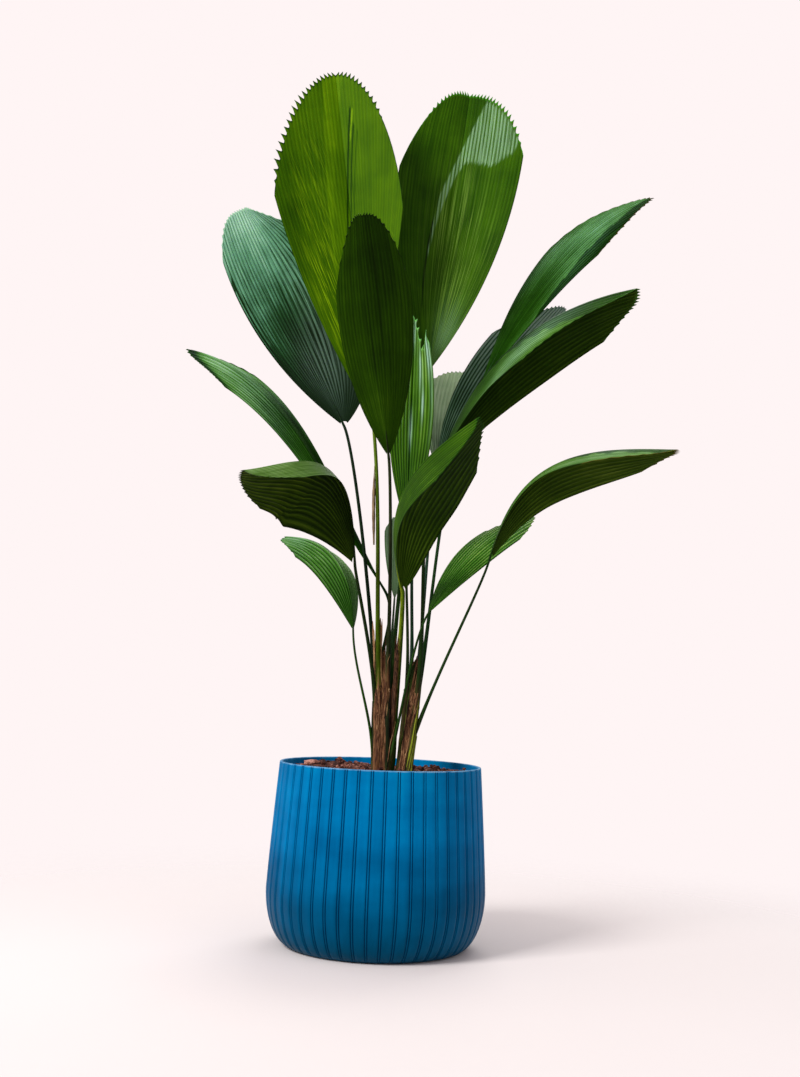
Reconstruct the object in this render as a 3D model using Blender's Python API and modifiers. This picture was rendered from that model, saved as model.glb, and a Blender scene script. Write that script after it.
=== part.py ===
# Potted fan palm
# A ribbed planter filled with soil, two fibrous stems, sixteen fronds and a dried spear.
# Metres, +Z up. The origin is the centre of the pot's foot, and the front is -Y.

import math

import bmesh
import bpy
import numpy as np
from mathutils import Vector
from mathutils.bvhtree import BVHTree

# Planter
POT_HEIGHT = 0.243
RIM_RADIUS = 0.137
BELLY_RADIUS = 0.148
BELLY_HEIGHT = 0.074
FOOT_RADIUS = 0.112
WALL = 0.004
FLOOR = 0.008
LEDGE_DEPTH = 0.009
LEDGE_WIDTH = 0.003
RIB_COUNT = 50
GROOVE_SHARE = 0.24
GROOVE_DEPTH = 0.0014

# Soil
CLEARANCE = 0.0003
SOIL_TOP = 0.232
SOIL_DROP = 0.003
SOIL_SECTORS = 40
SOIL_RINGS = 9
SOIL_RELIEF = 0.005
STEM_DEPTH = 0.05

# Stems: the axis from the soil to the top, and the radius at each end
STEMS = {
    "stem_left": {"foot": (0.002, 0.0, 0.232), "top": (-0.001, 0.0, 0.392), "radius": (0.0115, 0.008)},
    "stem_right": {"foot": (0.032, 0.0, 0.232), "top": (0.043, 0.0, 0.385), "radius": (0.009, 0.0065)},
}
STEM_SIDES = 18
STEM_RINGS = 12
FIBRE_DEPTH = 0.0012
TORN_EDGE = 0.009

# Blades
BLADE_THICKNESS = 0.0009
BLADE_START = 0.03
BLADE_ROWS = 5
WIDEST = 0.93
PLEAT_DEPTH = 0.16
FULL_PLEAT = 0.008
TOOTH_LENGTH = 0.004
PETIOLE_SINK = 0.06

# Fronds: hub is where the petiole meets the blade, tip is the end of the middle rib.
# half, belly, rounding, crown and fold take one value, or one each for the left and the right half.
# roll turns the blade's upper side away from the front, and arch bends it over, in metres.
FRONDS = {
    "frond_upper_left": {
        "hub": (-0.030, -0.010, 0.720), "tip": (-0.105, 0.030, 1.230), "half": (0.107, 0.079),
        "belly": (0.45, 0.12), "rounding": (0.33, 0.42), "crown": (1.9, 1.8), "fold": (12, 20), "pleats": 12,
        "stem": "stem_left", "side": -132, "foot": 0.350, "petiole": 0.0065, "colour": (0.07, 0.17, 0.01),
    },
    "frond_upper_right": {
        "hub": (0.045, 0.035, 0.795), "tip": (0.095, 0.120, 1.245), "half": (0.090, 0.0955),
        "belly": (1.0, 0.95), "rounding": (0.30, 0.2), "crown": (3.0, 2.8), "fold": (15, 15), "pleats": 12,
        "stem": "stem_left", "side": 35, "foot": 0.330, "petiole": 0.006, "colour": (0.03, 0.10, 0.01),
    },
    "frond_young": {
        "hub": (0.023, 0.000, 0.568), "tip": (0.024, 0.000, 0.866), "half": 0.023,
        "belly": 3.5, "rounding": 0.12, "crown": 2.0, "fold": 20, "pleats": 7,
        "stem": "stem_right", "side": -165, "foot": 0.345, "petiole": 0.0045, "colour": (0.06, 0.17, 0.01),
    },
    "frond_front": {
        "hub": (-0.005, -0.050, 0.658), "tip": (-0.048, -0.240, 0.930), "half": (0.044, 0.053),
        "belly": (1.5, 1.15), "rounding": 0.28, "crown": 3.5, "fold": -10, "pleats": 10, "ease": 0.12,
        "stem": "stem_left", "side": -62, "foot": 0.365, "petiole": 0.0055, "colour": (0.02, 0.06, 0.005),
    },
    "frond_left_blue": {
        "hub": (-0.070, 0.020, 0.710), "tip": (-0.245, 0.160, 1.068), "half": (0.063, 0.066),
        "belly": (1.5, 3.8), "rounding": 0.18, "crown": 4.0, "fold": 5, "pleats": 12, "ease": 0.1,
        "stem": "stem_left", "side": 168, "foot": 0.330, "petiole": 0.0055, "colour": (0.05, 0.16, 0.08),
    },
    "frond_left_long": {
        "hub": (-0.004, 0.050, 0.482), "tip": (-0.316, 0.140, 0.839), "half": (0.046, 0.047),
        "belly": (-0.2, -0.1), "rounding": (0.22, 0.2), "crown": (1.3, 2.0), "fold": -12, "pleats": 9,
        "roll": -55, "arch": 0.052, "skew": 0.6,
        "stem": "stem_left", "side": 125, "foot": 0.355, "petiole": 0.0055, "colour": (0.05, 0.16, 0.03),
    },
    "frond_left_droop": {
        "hub": (-0.044, -0.070, 0.508), "tip": (-0.180, -0.240, 0.605), "half": (0.045, 0.078),
        "belly": (1.0, 1.6), "rounding": 0.25, "crown": 2.5, "fold": -42, "pleats": 10,
        "roll": -122, "arch": 0.086, "skew": -0.5, "ease": 0.1,
        "stem": "stem_left", "side": -152, "foot": 0.315, "petiole": 0.0055, "colour": (0.02, 0.06, 0.005),
    },
    "frond_left_low": {
        "hub": (-0.045, 0.000, 0.423), "tip": (-0.148, 0.080, 0.556), "half": 0.054,
        "belly": 0.8, "rounding": 0.28, "crown": 2.5, "fold": -20, "pleats": 8,
        "roll": -60, "arch": 0.044,
        "stem": "stem_left", "side": -172, "foot": 0.250, "petiole": 0.004, "colour": (0.05, 0.16, 0.03),
    },
    "frond_centre_droop": {
        "hub": (0.021, -0.050, 0.476), "tip": (0.105, -0.220, 0.684), "half": (0.066, 0.056),
        "belly": (2.2, 1.2), "rounding": 0.22, "crown": 2.5, "fold": -46, "pleats": 10,
        "roll": 116, "arch": 0.057, "skew": -0.3, "ease": 0.03,
        "stem": "stem_left", "side": 5, "foot": 0.250, "petiole": 0.008, "colour": (0.03, 0.08, 0.005),
    },
    "frond_right_high": {
        "hub": (0.124, 0.070, 0.788), "tip": (0.383, 0.170, 1.114), "half": (0.055, 0.050),
        "belly": 0.4, "rounding": (0.42, 0.40), "crown": (1.2, 1.2), "fold": -8, "pleats": 8,
        "roll": 48, "arch": 0.045, "skew": 0.2,
        "stem": "stem_right", "side": 20, "foot": 0.350, "petiole": 0.005, "colour": (0.05, 0.17, 0.06),
    },
    "frond_right_middle": {
        "hub": (0.063, -0.020, 0.652), "tip": (0.311, -0.150, 0.876), "half": (0.060, 0.054),
        "belly": (2.1, 0.4), "rounding": (0.16, 0.45), "crown": (2.5, 1.3), "fold": (-45, -58), "pleats": 10,
        "roll": 117, "arch": 0.065,
        "stem": "stem_right", "side": -48, "foot": 0.340, "petiole": 0.0055, "colour": (0.03, 0.08, 0.01),
    },
    "frond_right_slate": {
        "hub": (0.064, 0.070, 0.660), "tip": (0.258, 0.200, 0.942), "half": (0.064, 0.024),
        "belly": 1.2, "rounding": 0.3, "crown": 2.0, "fold": 0, "pleats": 8,
        "stem": "stem_right", "side": 115, "foot": 0.345, "petiole": 0.005, "colour": (0.06, 0.12, 0.09),
    },
    "frond_back_right": {
        "hub": (0.067, 0.100, 0.662), "tip": (0.112, 0.320, 0.860), "half": (0.055, 0.050),
        "belly": 0.8, "rounding": 0.2, "crown": 2.5, "fold": 0, "pleats": 9,
        "stem": "stem_right", "side": 66, "foot": 0.335, "petiole": 0.005, "colour": (0.12, 0.22, 0.10),
    },
    "frond_right_low": {
        "hub": (0.138, -0.020, 0.525), "tip": (0.368, -0.140, 0.667), "half": (0.031, 0.032),
        "belly": (4.2, 1.2), "rounding": (0.15, 0.35), "crown": (2.5, 1.5), "fold": -44, "pleats": 8,
        "roll": 118, "arch": 0.076, "skew": -0.35, "ease": 0.15, "lean": 0.25,
        "stem": "stem_right", "side": -8, "foot": 0.285, "petiole": 0.0045, "colour": (0.03, 0.08, 0.01),
    },
    "frond_right_low_back": {
        "hub": (0.057, -0.030, 0.449), "tip": (0.208, 0.110, 0.603), "half": (0.041, 0.034),
        "belly": 1.0, "rounding": 0.28, "crown": 1.8, "fold": -10, "pleats": 7,
        "roll": 50, "arch": 0.022, "lean": 0.3, "ease": 0.2,
        "stem": "stem_left", "side": -38, "foot": 0.245, "petiole": 0.004, "colour": (0.05, 0.16, 0.03),
    },
    "frond_back_small": {
        "hub": (0.010, 0.064, 0.471), "tip": (0.013, 0.270, 0.614), "half": 0.022,
        "belly": 0.8, "rounding": 0.2, "crown": 2.5, "fold": 0, "pleats": 5,
        "stem": "stem_left", "side": 66, "foot": 0.290, "petiole": 0.004, "colour": (0.12, 0.22, 0.10),
    },
}
PETIOLE_POINTS = 9
PETIOLE_TAPER = 0.7
CLOSING_STEPS = 8

# Dried spear: the route and the radius at each point
SPEAR_ROUTE = [
    (-0.0216, -0.0180, 0.540),
    (-0.0238, -0.0190, 0.575),
    (-0.0262, -0.0197, 0.615),
    (-0.0287, -0.0205, 0.650),
]
SPEAR_RADII = [0.0012, 0.0026, 0.0024, 0.0005]

COLLECTION_NAME = "potted_fan_palm"
CUTTER_COLLECTION_NAME = "potted_fan_palm_cutters"


def clear_scene():
    for obj in list(bpy.data.objects):
        bpy.data.objects.remove(obj, do_unlink=True)


def make_collection(name):
    collection = bpy.data.collections.new(name)
    bpy.context.scene.collection.children.link(collection)
    return collection


def make_material(name, colour, roughness):
    material = bpy.data.materials.new(name)
    material.use_nodes = True
    shader = material.node_tree.nodes["Principled BSDF"]
    shader.inputs["Base Color"].default_value = (*colour, 1.0)
    shader.inputs["Roughness"].default_value = roughness
    shader.inputs["Metallic"].default_value = 0.0
    return material


def add_object(name, mesh, collection, material):
    obj = bpy.data.objects.new(name, mesh)
    collection.objects.link(obj)
    mesh.materials.append(material)
    return obj


def bmesh_to_mesh(bm, name, smooth_angle=None):
    bmesh.ops.recalc_face_normals(bm, faces=bm.faces)
    if bm.calc_volume(signed=True) < 0.0:
        bmesh.ops.reverse_faces(bm, faces=bm.faces)
    mesh = bpy.data.meshes.new(name)
    bm.to_mesh(mesh)
    bm.free()
    if smooth_angle is not None:
        mesh.shade_smooth()
        mesh.set_sharp_from_angle(angle=math.radians(smooth_angle))
    return mesh


def unit(vectors):
    return vectors / np.linalg.norm(vectors, axis=-1, keepdims=True)


def turn_profile(profile, steps):
    """A closed body from a profile that starts and ends on the axis."""
    bm = bmesh.new()
    points = [bm.verts.new((radius, 0.0, height)) for radius, height in profile]
    edges = [bm.edges.new(pair) for pair in zip(points, points[1:])]
    bmesh.ops.spin(
        bm,
        geom=points + edges,
        cent=(0.0, 0.0, 0.0),
        axis=(0.0, 0.0, 1.0),
        angle=2.0 * math.pi,
        steps=steps,
        use_merge=True,
    )
    bmesh.ops.remove_doubles(bm, verts=bm.verts, dist=1e-6)
    return bm


def outer_corner(degrees):
    """Radius and height on the rounded lower edge, from 0 at the foot to 90 at the belly."""
    turn = math.radians(degrees)
    radius = FOOT_RADIUS + (BELLY_RADIUS - FOOT_RADIUS) * math.sin(turn)
    return radius, BELLY_HEIGHT * (1.0 - math.cos(turn))


def cavity_profile():
    """The inside from the floor's edge up to the ledge."""
    bend_radius, bend_height = outer_corner(60)
    return [
        (FOOT_RADIUS + WALL, FLOOR),
        (bend_radius - WALL, bend_height),
        (BELLY_RADIUS - WALL, BELLY_HEIGHT),
        (RIM_RADIUS - WALL - LEDGE_WIDTH, POT_HEIGHT - LEDGE_DEPTH),
    ]


def planter_profile():
    """Outside from the foot's centre up to the rim, then the inside down to the floor."""
    profile = [(0.0, 0.0)] + [outer_corner(degrees) for degrees in (0, 16, 34, 60, 90)]
    profile += [(RIM_RADIUS, POT_HEIGHT), (RIM_RADIUS - WALL, POT_HEIGHT)]
    profile.append((RIM_RADIUS - WALL, POT_HEIGHT - LEDGE_DEPTH))
    profile += reversed(cavity_profile())
    profile.append((0.0, FLOOR))
    return profile


def make_planter(collection):
    samples = 3
    bm = turn_profile(planter_profile(), RIB_COUNT * samples)
    pitch = 2.0 * math.pi / RIB_COUNT
    outline = [outer_corner(degrees) for degrees in (0, 16, 34, 60, 90)] + [(RIM_RADIUS, POT_HEIGHT)]
    for vert in bm.verts:
        radius = math.hypot(vert.co.x, vert.co.y)
        if min(math.hypot(radius - r, vert.co.z - z) for r, z in outline) > 1e-4:
            continue
        sample = round(math.atan2(vert.co.y, vert.co.x) / pitch * samples)
        rib, place = divmod(sample, samples)
        offset = (-GROOVE_SHARE / 2, 0.0, GROOVE_SHARE / 2)[place]
        depth = GROOVE_DEPTH if place == 1 and vert.co.z > 1e-4 else 0.0
        angle = (rib + offset) * pitch
        vert.co.x = (radius - depth) * math.cos(angle)
        vert.co.y = (radius - depth) * math.sin(angle)
    mesh = bmesh_to_mesh(bm, "planter", 30)
    material = make_material("satin blue", (0.0, 0.13, 0.33), 0.42)
    return add_object("planter", mesh, collection, material)


def soil_height(x, y):
    """Lumpy surface, higher at the back left."""
    lumps = math.sin(95 * x + 1.0) * math.cos(80 * y) + 0.6 * math.sin(150 * x - 110 * y + 0.7)
    rise = 0.004 * math.exp(-((x + 0.07) ** 2 + (y - 0.07) ** 2) / 0.0012)
    return SOIL_TOP + 0.5 * SOIL_RELIEF * lumps + rise


def make_soil(collection, cutters):
    profile = [(0.0, FLOOR + CLEARANCE)]
    profile += [(radius - 2 * CLEARANCE, height + CLEARANCE) for radius, height in cavity_profile()]
    top_radius = profile[-1][0]
    profile[-1] = (top_radius, POT_HEIGHT - LEDGE_DEPTH - SOIL_DROP)
    for ring in range(1, SOIL_RINGS):
        profile.append((top_radius * (1.0 - ring / SOIL_RINGS), SOIL_TOP))
    profile.append((0.0, SOIL_TOP))
    bm = turn_profile(profile, SOIL_SECTORS)
    for vert in bm.verts:
        if vert.co.z > SOIL_TOP - 1e-4:
            vert.co.z = soil_height(vert.co.x, vert.co.y)
    bmesh.ops.triangulate(bm, faces=bm.faces)
    mesh = bmesh_to_mesh(bm, "soil")
    soil = add_object("soil", mesh, collection, make_material("potting mix", (0.09, 0.045, 0.03), 0.95))
    for name, stem in STEMS.items():
        foot, top = Vector(stem["foot"]), Vector(stem["top"])
        axis = (top - foot).normalized()
        length = 2.0 * STEM_DEPTH
        bpy.ops.mesh.primitive_cylinder_add(
            vertices=STEM_SIDES,
            radius=(stem["radius"][0] + 2 * CLEARANCE) / math.cos(math.pi / STEM_SIDES),
            depth=length,
            location=foot - axis * (STEM_DEPTH + CLEARANCE) + axis * (length / 2),
            rotation=axis.to_track_quat("Z", "Y").to_euler(),
        )
        cutter = bpy.context.object
        cutter.name = name + "_hole"
        for old in list(cutter.users_collection):
            old.objects.unlink(cutter)
        cutters.objects.link(cutter)
        cutter.hide_render = True
        cutter.display_type = "WIRE"
        cut = soil.modifiers.new(name + "_hole", "BOOLEAN")
        cut.operation = "DIFFERENCE"
        cut.object = cutter
    weld = soil.modifiers.new("weld", "WELD")
    weld.merge_threshold = 0.00005
    return soil


def stem_radius(stem, share):
    low, high = stem["radius"]
    return low + (high - low) * min(max(share, 0.0), 1.0)


def make_stem(name, stem, collection):
    """A tapered stem with fibre grooves and a torn upper edge."""
    foot, top = Vector(stem["foot"]), Vector(stem["top"])
    axis = top - foot
    buried = STEM_DEPTH / axis.length
    turn = axis.normalized().to_track_quat("Z", "Y")
    profile = [(0.0, -buried)]
    heights = [-buried, -0.08] + [ring / (STEM_RINGS - 3) for ring in range(STEM_RINGS - 2)]
    profile += [(stem_radius(stem, share), share) for share in heights]
    profile.append((0.0, 0.97))
    bm = turn_profile(profile, STEM_SIDES)
    for vert in bm.verts:
        share = vert.co.z
        radius = math.hypot(vert.co.x, vert.co.y)
        angle = math.atan2(vert.co.y, vert.co.x)
        height = share * axis.length
        if radius > 1e-5 and share > -0.01:
            grain = 0.5 + 0.5 * math.sin(9 * angle + 14 * share + 1.3 * math.sin(31 * share))
            scale = (radius - FIBRE_DEPTH * grain) / radius
            vert.co.x *= scale
            vert.co.y *= scale
        if radius > 1e-5 and share > 0.999:
            height += TORN_EDGE * (0.5 + 0.5 * math.sin(5 * angle + 0.6)) - 0.5 * TORN_EDGE
        vert.co = foot + turn @ Vector((vert.co.x, vert.co.y, height))
    mesh = bmesh_to_mesh(bm, name, 35)
    material = make_material(name + " fibre", (0.16, 0.08, 0.04), 0.8)
    return add_object(name, mesh, collection, material)


def by_side(leaf, field, s):
    """A leaf's value on its left half for s < 0 and on its right half otherwise."""
    value = leaf[field]
    left, right = value if isinstance(value, tuple) else (value, value)
    return np.where(s < 0, left, right)


def blade_frame(leaf):
    """Length, and the directions along, across and out of the upper side."""
    hub, tip = np.array(leaf["hub"]), np.array(leaf["tip"])
    length = np.linalg.norm(tip - hub)
    along = (tip - hub) / length
    front = np.array([0.0, -1.0, 0.0])
    facing = unit(front - along * (along @ front))
    level = np.cross(along, facing)
    roll = math.radians(leaf.get("roll", 0))
    side = math.cos(roll) * level + math.sin(roll) * facing
    normal = math.cos(roll) * facing - math.sin(roll) * level
    return length, along, side, normal


def blade_points(leaf, s, t, pleated=True):
    """Points of the blade's middle surface.

    s runs across, from -1 at the left margin to 1 at the right one, and t runs along each rib,
    from 0 at the hub to 1 at the rib's end. A rib ends at 1 - rounding * |s| ** crown of the
    blade's length. Its distance from the middle rib is s * half * q * (1 + belly * (1 - q)),
    where q is its reach as a share of the margin's, and at most WIDEST of its reach. Each half
    is then folded, and the middle rib is bent to arch * 4u(1 - u) * (1 + skew * (2u - 1)) at
    the share u of the length.
    """
    s, t = np.broadcast_arrays(np.asarray(s, float), np.asarray(t, float))
    length, along, side, normal = blade_frame(leaf)
    arch, skew = leaf.get("arch", 0.0), leaf.get("skew", 0.0)
    rounding = by_side(leaf, "rounding", s)
    reach = t * (1.0 - rounding * np.abs(s) ** by_side(leaf, "crown", s))
    q = reach / (1.0 - rounding)
    margin = by_side(leaf, "half", s) * q * (1.0 + by_side(leaf, "belly", s) * (1.0 - q))
    margin = np.minimum(margin, WIDEST * reach * length)
    across = s * margin
    u = np.sqrt(np.maximum(reach ** 2 - (across / length) ** 2, 0.0))
    fold = np.radians(by_side(leaf, "fold", s))
    lateral = across * np.cos(fold)
    lift = np.abs(across) * np.sin(fold)
    if pleated:
        spacing = 2.0 * margin / leaf["pleats"]
        depth = PLEAT_DEPTH * spacing * np.minimum(1.0, spacing / FULL_PLEAT)
        lift = lift + depth * (1.0 - 2.0 * np.abs((s + 1.0) * leaf["pleats"] % 2.0 - 1.0))
    bend = 4.0 * u * (1.0 - u) * (1.0 + skew * (2.0 * u - 1.0))
    slope = 4.0 * (1.0 - 2.0 * u) * (1.0 + skew * (2.0 * u - 1.0)) + 8.0 * u * (1.0 - u) * skew
    middle = np.array(leaf["hub"]) + u[..., None] * length * along + bend[..., None] * arch * normal
    tangent = unit(length * along + slope[..., None] * arch * normal)
    across_axis = unit(side - tangent * np.sum(tangent * side, axis=-1, keepdims=True))
    out_axis = np.cross(across_axis, tangent)
    return middle + lateral[..., None] * across_axis + lift[..., None] * out_axis


def blade_mesh(name, leaf):
    """A grid with two columns to a pleat, mapped onto the blade's surface."""
    columns = 2 * leaf["pleats"]
    length = blade_frame(leaf)[0]
    bm = bmesh.new()
    bmesh.ops.create_grid(bm, x_segments=columns, y_segments=BLADE_ROWS, size=1.0)
    bmesh.ops.triangulate(bm, faces=bm.faces)
    verts = list(bm.verts)
    s = np.array([vert.co.x for vert in verts])
    t = 0.5 + 0.5 * np.array([vert.co.y for vert in verts])
    column = np.rint((s + 1.0) * leaf["pleats"]).astype(int)
    tooth = np.where(column % 2 == 1, TOOTH_LENGTH, -TOOTH_LENGTH) / length
    end = 1.0 + np.where(np.abs(s) < 0.99, tooth, 0.0)
    t = BLADE_START + (end - BLADE_START) * t
    for vert, point in zip(verts, blade_points(leaf, s, t)):
        vert.co = point
    return bmesh_to_mesh(bm, name, 50)


def petiole_route(leaf, standoff):
    """Points from the stem's side to just inside the blade, starting at a distance from the stem's axis."""
    stem = STEMS[leaf["stem"]]
    foot, top = np.array(stem["foot"]), np.array(stem["top"])
    share = (leaf["foot"] - foot[2]) / (top[2] - foot[2])
    side = math.radians(leaf["side"])
    out = np.array([math.cos(side), math.sin(side), 0.0])
    start = foot + (top - foot) * share + out * standoff
    hub = np.array(leaf["hub"])
    inside = blade_points(leaf, 0.0, PETIOLE_SINK, pleated=False)
    lead = unit(inside - hub)
    reach = np.linalg.norm(hub - start)
    rise = unit(unit(top - foot) + out * leaf.get("lean", 0.06))
    handle_low = start + rise * reach * 0.35
    handle_high = hub - lead * reach * leaf.get("ease", 0.3)
    t = np.linspace(0.0, 1.0, PETIOLE_POINTS)[:, None]
    route = (1 - t) ** 3 * start + 3 * (1 - t) ** 2 * t * handle_low
    route = route + 3 * (1 - t) * t ** 2 * handle_high + t ** 3 * hub
    return np.vstack([route, inside])


def tube_mesh(name, route, radii, resolution):
    """A capped tube along a route, as a welded mesh."""
    curve = bpy.data.curves.new(name, "CURVE")
    curve.dimensions = "3D"
    curve.bevel_depth = 1.0
    curve.bevel_resolution = resolution
    curve.use_fill_caps = True
    spline = curve.splines.new("POLY")
    spline.points.add(len(route) - 1)
    for point, place, radius in zip(spline.points, route, radii):
        point.co = (*place, 1.0)
        point.radius = radius
    guide = bpy.data.objects.new(name, curve)
    bpy.context.scene.collection.objects.link(guide)
    evaluated = guide.evaluated_get(bpy.context.evaluated_depsgraph_get())
    mesh = bpy.data.meshes.new_from_object(evaluated)
    bpy.data.objects.remove(guide, do_unlink=True)
    bm = bmesh.new()
    bm.from_mesh(mesh)
    bmesh.ops.remove_doubles(bm, verts=bm.verts, dist=1e-6)
    bpy.data.meshes.remove(mesh)
    return bmesh_to_mesh(bm, name, 50)


def mesh_gap(first, second):
    """Least distance from the corners of each mesh to the faces of the other."""
    gap = 1.0
    for near, far in ((first, second), (second, first)):
        tree = BVHTree.FromPolygons([v.co for v in far.vertices], [p.vertices for p in far.polygons])
        gap = min(gap, min(tree.find_nearest(v.co)[3] for v in near.vertices))
    return gap


def petiole_mesh(name, leaf, stem_mesh):
    """A tapered petiole whose foot is closed up to the stem's side."""
    standoff = STEMS[leaf["stem"]]["radius"][0] + leaf["petiole"]
    for _ in range(CLOSING_STEPS):
        route = petiole_route(leaf, standoff)
        radii = np.linspace(0.5, 0.5 * PETIOLE_TAPER, len(route)) * leaf["petiole"]
        radii[-1] *= 0.5
        mesh = tube_mesh(name, route, radii, 1)
        gap = mesh_gap(mesh, stem_mesh)
        if gap < CLEARANCE + 1e-5:
            break
        standoff -= gap - CLEARANCE
    return mesh


def make_frond(name, leaf, stem_mesh, collection):
    """A thickened blade joined to its petiole."""
    material = make_material(name.replace("_", " "), leaf["colour"], 0.45)
    frond = add_object(name, blade_mesh(name, leaf), collection, material)
    shell = frond.modifiers.new("thickness", "SOLIDIFY")
    shell.thickness = BLADE_THICKNESS
    shell.offset = 0.0
    joined = bpy.data.collections.new(name + "_joined")
    bpy.context.scene.collection.children.link(joined)
    part_name = name + "_petiole"
    petiole = add_object(part_name, petiole_mesh(part_name, leaf, stem_mesh), joined, material)
    union = frond.modifiers.new("petiole", "BOOLEAN")
    union.operation = "UNION"
    union.solver = "MANIFOLD"
    union.operand_type = "COLLECTION"
    union.collection = joined
    evaluated = frond.evaluated_get(bpy.context.evaluated_depsgraph_get())
    mesh = bpy.data.meshes.new_from_object(evaluated)
    frond.modifiers.clear()
    frond.data = mesh
    bpy.data.objects.remove(petiole, do_unlink=True)
    bpy.data.collections.remove(joined)
    return frond


def make_spear(carrier, collection):
    """A dry spear whose foot is closed up to the petiole that carries it."""
    route = np.array(SPEAR_ROUTE)
    corners = np.array([vert.co for vert in carrier.data.vertices])
    near = corners[np.argmin(np.linalg.norm(corners - route[0], axis=1))]
    toward = unit((near - route[0]) * (1.0, 1.0, 0.0))
    for _ in range(CLOSING_STEPS):
        mesh = tube_mesh("dried_spear", route, SPEAR_RADII, 1)
        gap = mesh_gap(mesh, carrier.data)
        if gap < CLEARANCE + 1e-5:
            break
        route += toward * (gap - CLEARANCE)
    return add_object("dried_spear", mesh, collection, make_material("dry spear", (0.28, 0.17, 0.09), 0.85))


def main():
    clear_scene()
    collection = make_collection(COLLECTION_NAME)
    cutters = make_collection(CUTTER_COLLECTION_NAME)
    make_planter(collection)
    make_soil(collection, cutters)
    stems = {name: make_stem(name, stem, collection) for name, stem in STEMS.items()}
    fronds = {}
    for name, leaf in FRONDS.items():
        fronds[name] = make_frond(name, leaf, stems[leaf["stem"]].data, collection)
    make_spear(fronds["frond_upper_left"], collection)


main()
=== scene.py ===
import math

import bpy
import numpy as np
from mathutils import Matrix, Vector


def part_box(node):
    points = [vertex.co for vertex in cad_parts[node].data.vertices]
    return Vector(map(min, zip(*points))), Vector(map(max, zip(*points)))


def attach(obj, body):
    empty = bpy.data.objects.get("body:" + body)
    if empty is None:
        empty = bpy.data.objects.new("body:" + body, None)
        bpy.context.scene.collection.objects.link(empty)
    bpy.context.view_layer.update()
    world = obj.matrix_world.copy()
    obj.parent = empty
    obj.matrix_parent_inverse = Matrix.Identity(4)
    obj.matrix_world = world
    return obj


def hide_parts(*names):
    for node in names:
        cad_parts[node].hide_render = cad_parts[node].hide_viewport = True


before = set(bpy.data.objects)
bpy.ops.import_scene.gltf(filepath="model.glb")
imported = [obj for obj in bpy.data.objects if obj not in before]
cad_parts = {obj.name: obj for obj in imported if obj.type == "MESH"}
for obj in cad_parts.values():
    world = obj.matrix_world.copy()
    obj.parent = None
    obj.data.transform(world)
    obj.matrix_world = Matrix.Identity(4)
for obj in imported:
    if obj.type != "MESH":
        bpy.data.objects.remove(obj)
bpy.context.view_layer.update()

fullTurn = 2.0 * math.pi
towardViewer = np.array([0.0, -1.0, 0.0])

# Helpers for shapes. A part is a dictionary of points, a list of face arrays, uv pairs, and named values, all
# but the faces with one entry for each point.


# Each vector divided by its own length
def unit(vectors):
    return vectors / np.maximum(np.linalg.norm(vectors, axis=-1, keepdims=True), 1e-12)


# 0 below low, 1 above high, and an S-shaped curve 3x^2 - 2x^3 between
def smoothStep(low, high, x):
    share = np.clip((x - low) / (high - low), 0.0, 1.0)
    return share * share * (3.0 - 2.0 * share)


# A rolling surface from about -1 to 1: sine waves with seeded directions, lengths and starts, added up
def rolling(x, y, seed, pitch, waves=7):
    draw = np.random.default_rng(seed)
    total = np.zeros(np.broadcast(x, y).shape)
    for _ in range(waves):
        turn, start = draw.uniform(0.0, fullTurn, 2)
        rate = fullTurn / (pitch * draw.uniform(0.6, 1.7))
        total = total + np.sin(rate * (x * math.cos(turn) + y * math.sin(turn)) + start)
    return total / math.sqrt(waves) / 1.4


# Evenly spaced angles round a circle
def roundAngles(count):
    return np.linspace(0.0, fullTurn, count, endpoint=False)


# Direction of a route at each of its points, and rings across it: cos(angle) level and sin(angle) facing out
def routeRings(route, angle, oval=1.0):
    tangent = unit(np.gradient(route, axis=0))
    level = unit(np.cross(tangent, towardViewer))
    facing = np.cross(level, tangent)
    wide, deep = np.cos(angle)[None, :, None] * oval, np.sin(angle)[None, :, None]
    return tangent, level[:, None, :] * wide + facing[:, None, :] * deep


# For each grid point its column's value and its row's
def gridPairs(across, along):
    return np.stack([np.tile(across, len(along)), np.repeat(along, len(across))], -1)


# Quads between neighbours of a grid numbered row by row; a ring joins the last column to the first
def gridFaces(rows, columns, ring=False, flip=False, first=0):
    row = np.arange(rows - 1)[:, None] * columns
    column = np.arange(columns if ring else columns - 1)[None, :]
    after = (column + 1) % columns
    below = row + columns
    quads = np.stack([row + column, row + after, below + after, below + column], -1).reshape(-1, 4)
    return (quads[:, ::-1] if flip else quads) + first


# Triangles from a ring of points to one middle point
def fanFaces(ring, middle, flip=False):
    fan = np.stack([ring, np.roll(ring, -1), np.full(len(ring), middle)], -1)
    return fan[:, ::-1] if flip else fan


# Rings joined into a tube, and a fan at each end to one of the two points that follow the rings
def tubeFaces(rows, columns, flip=False):
    ring, count = np.arange(columns), rows * columns
    return [gridFaces(rows, columns, True, flip), fanFaces(ring, count, not flip),
            fanFaces(ring + count - columns, count + 1, flip)]


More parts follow.
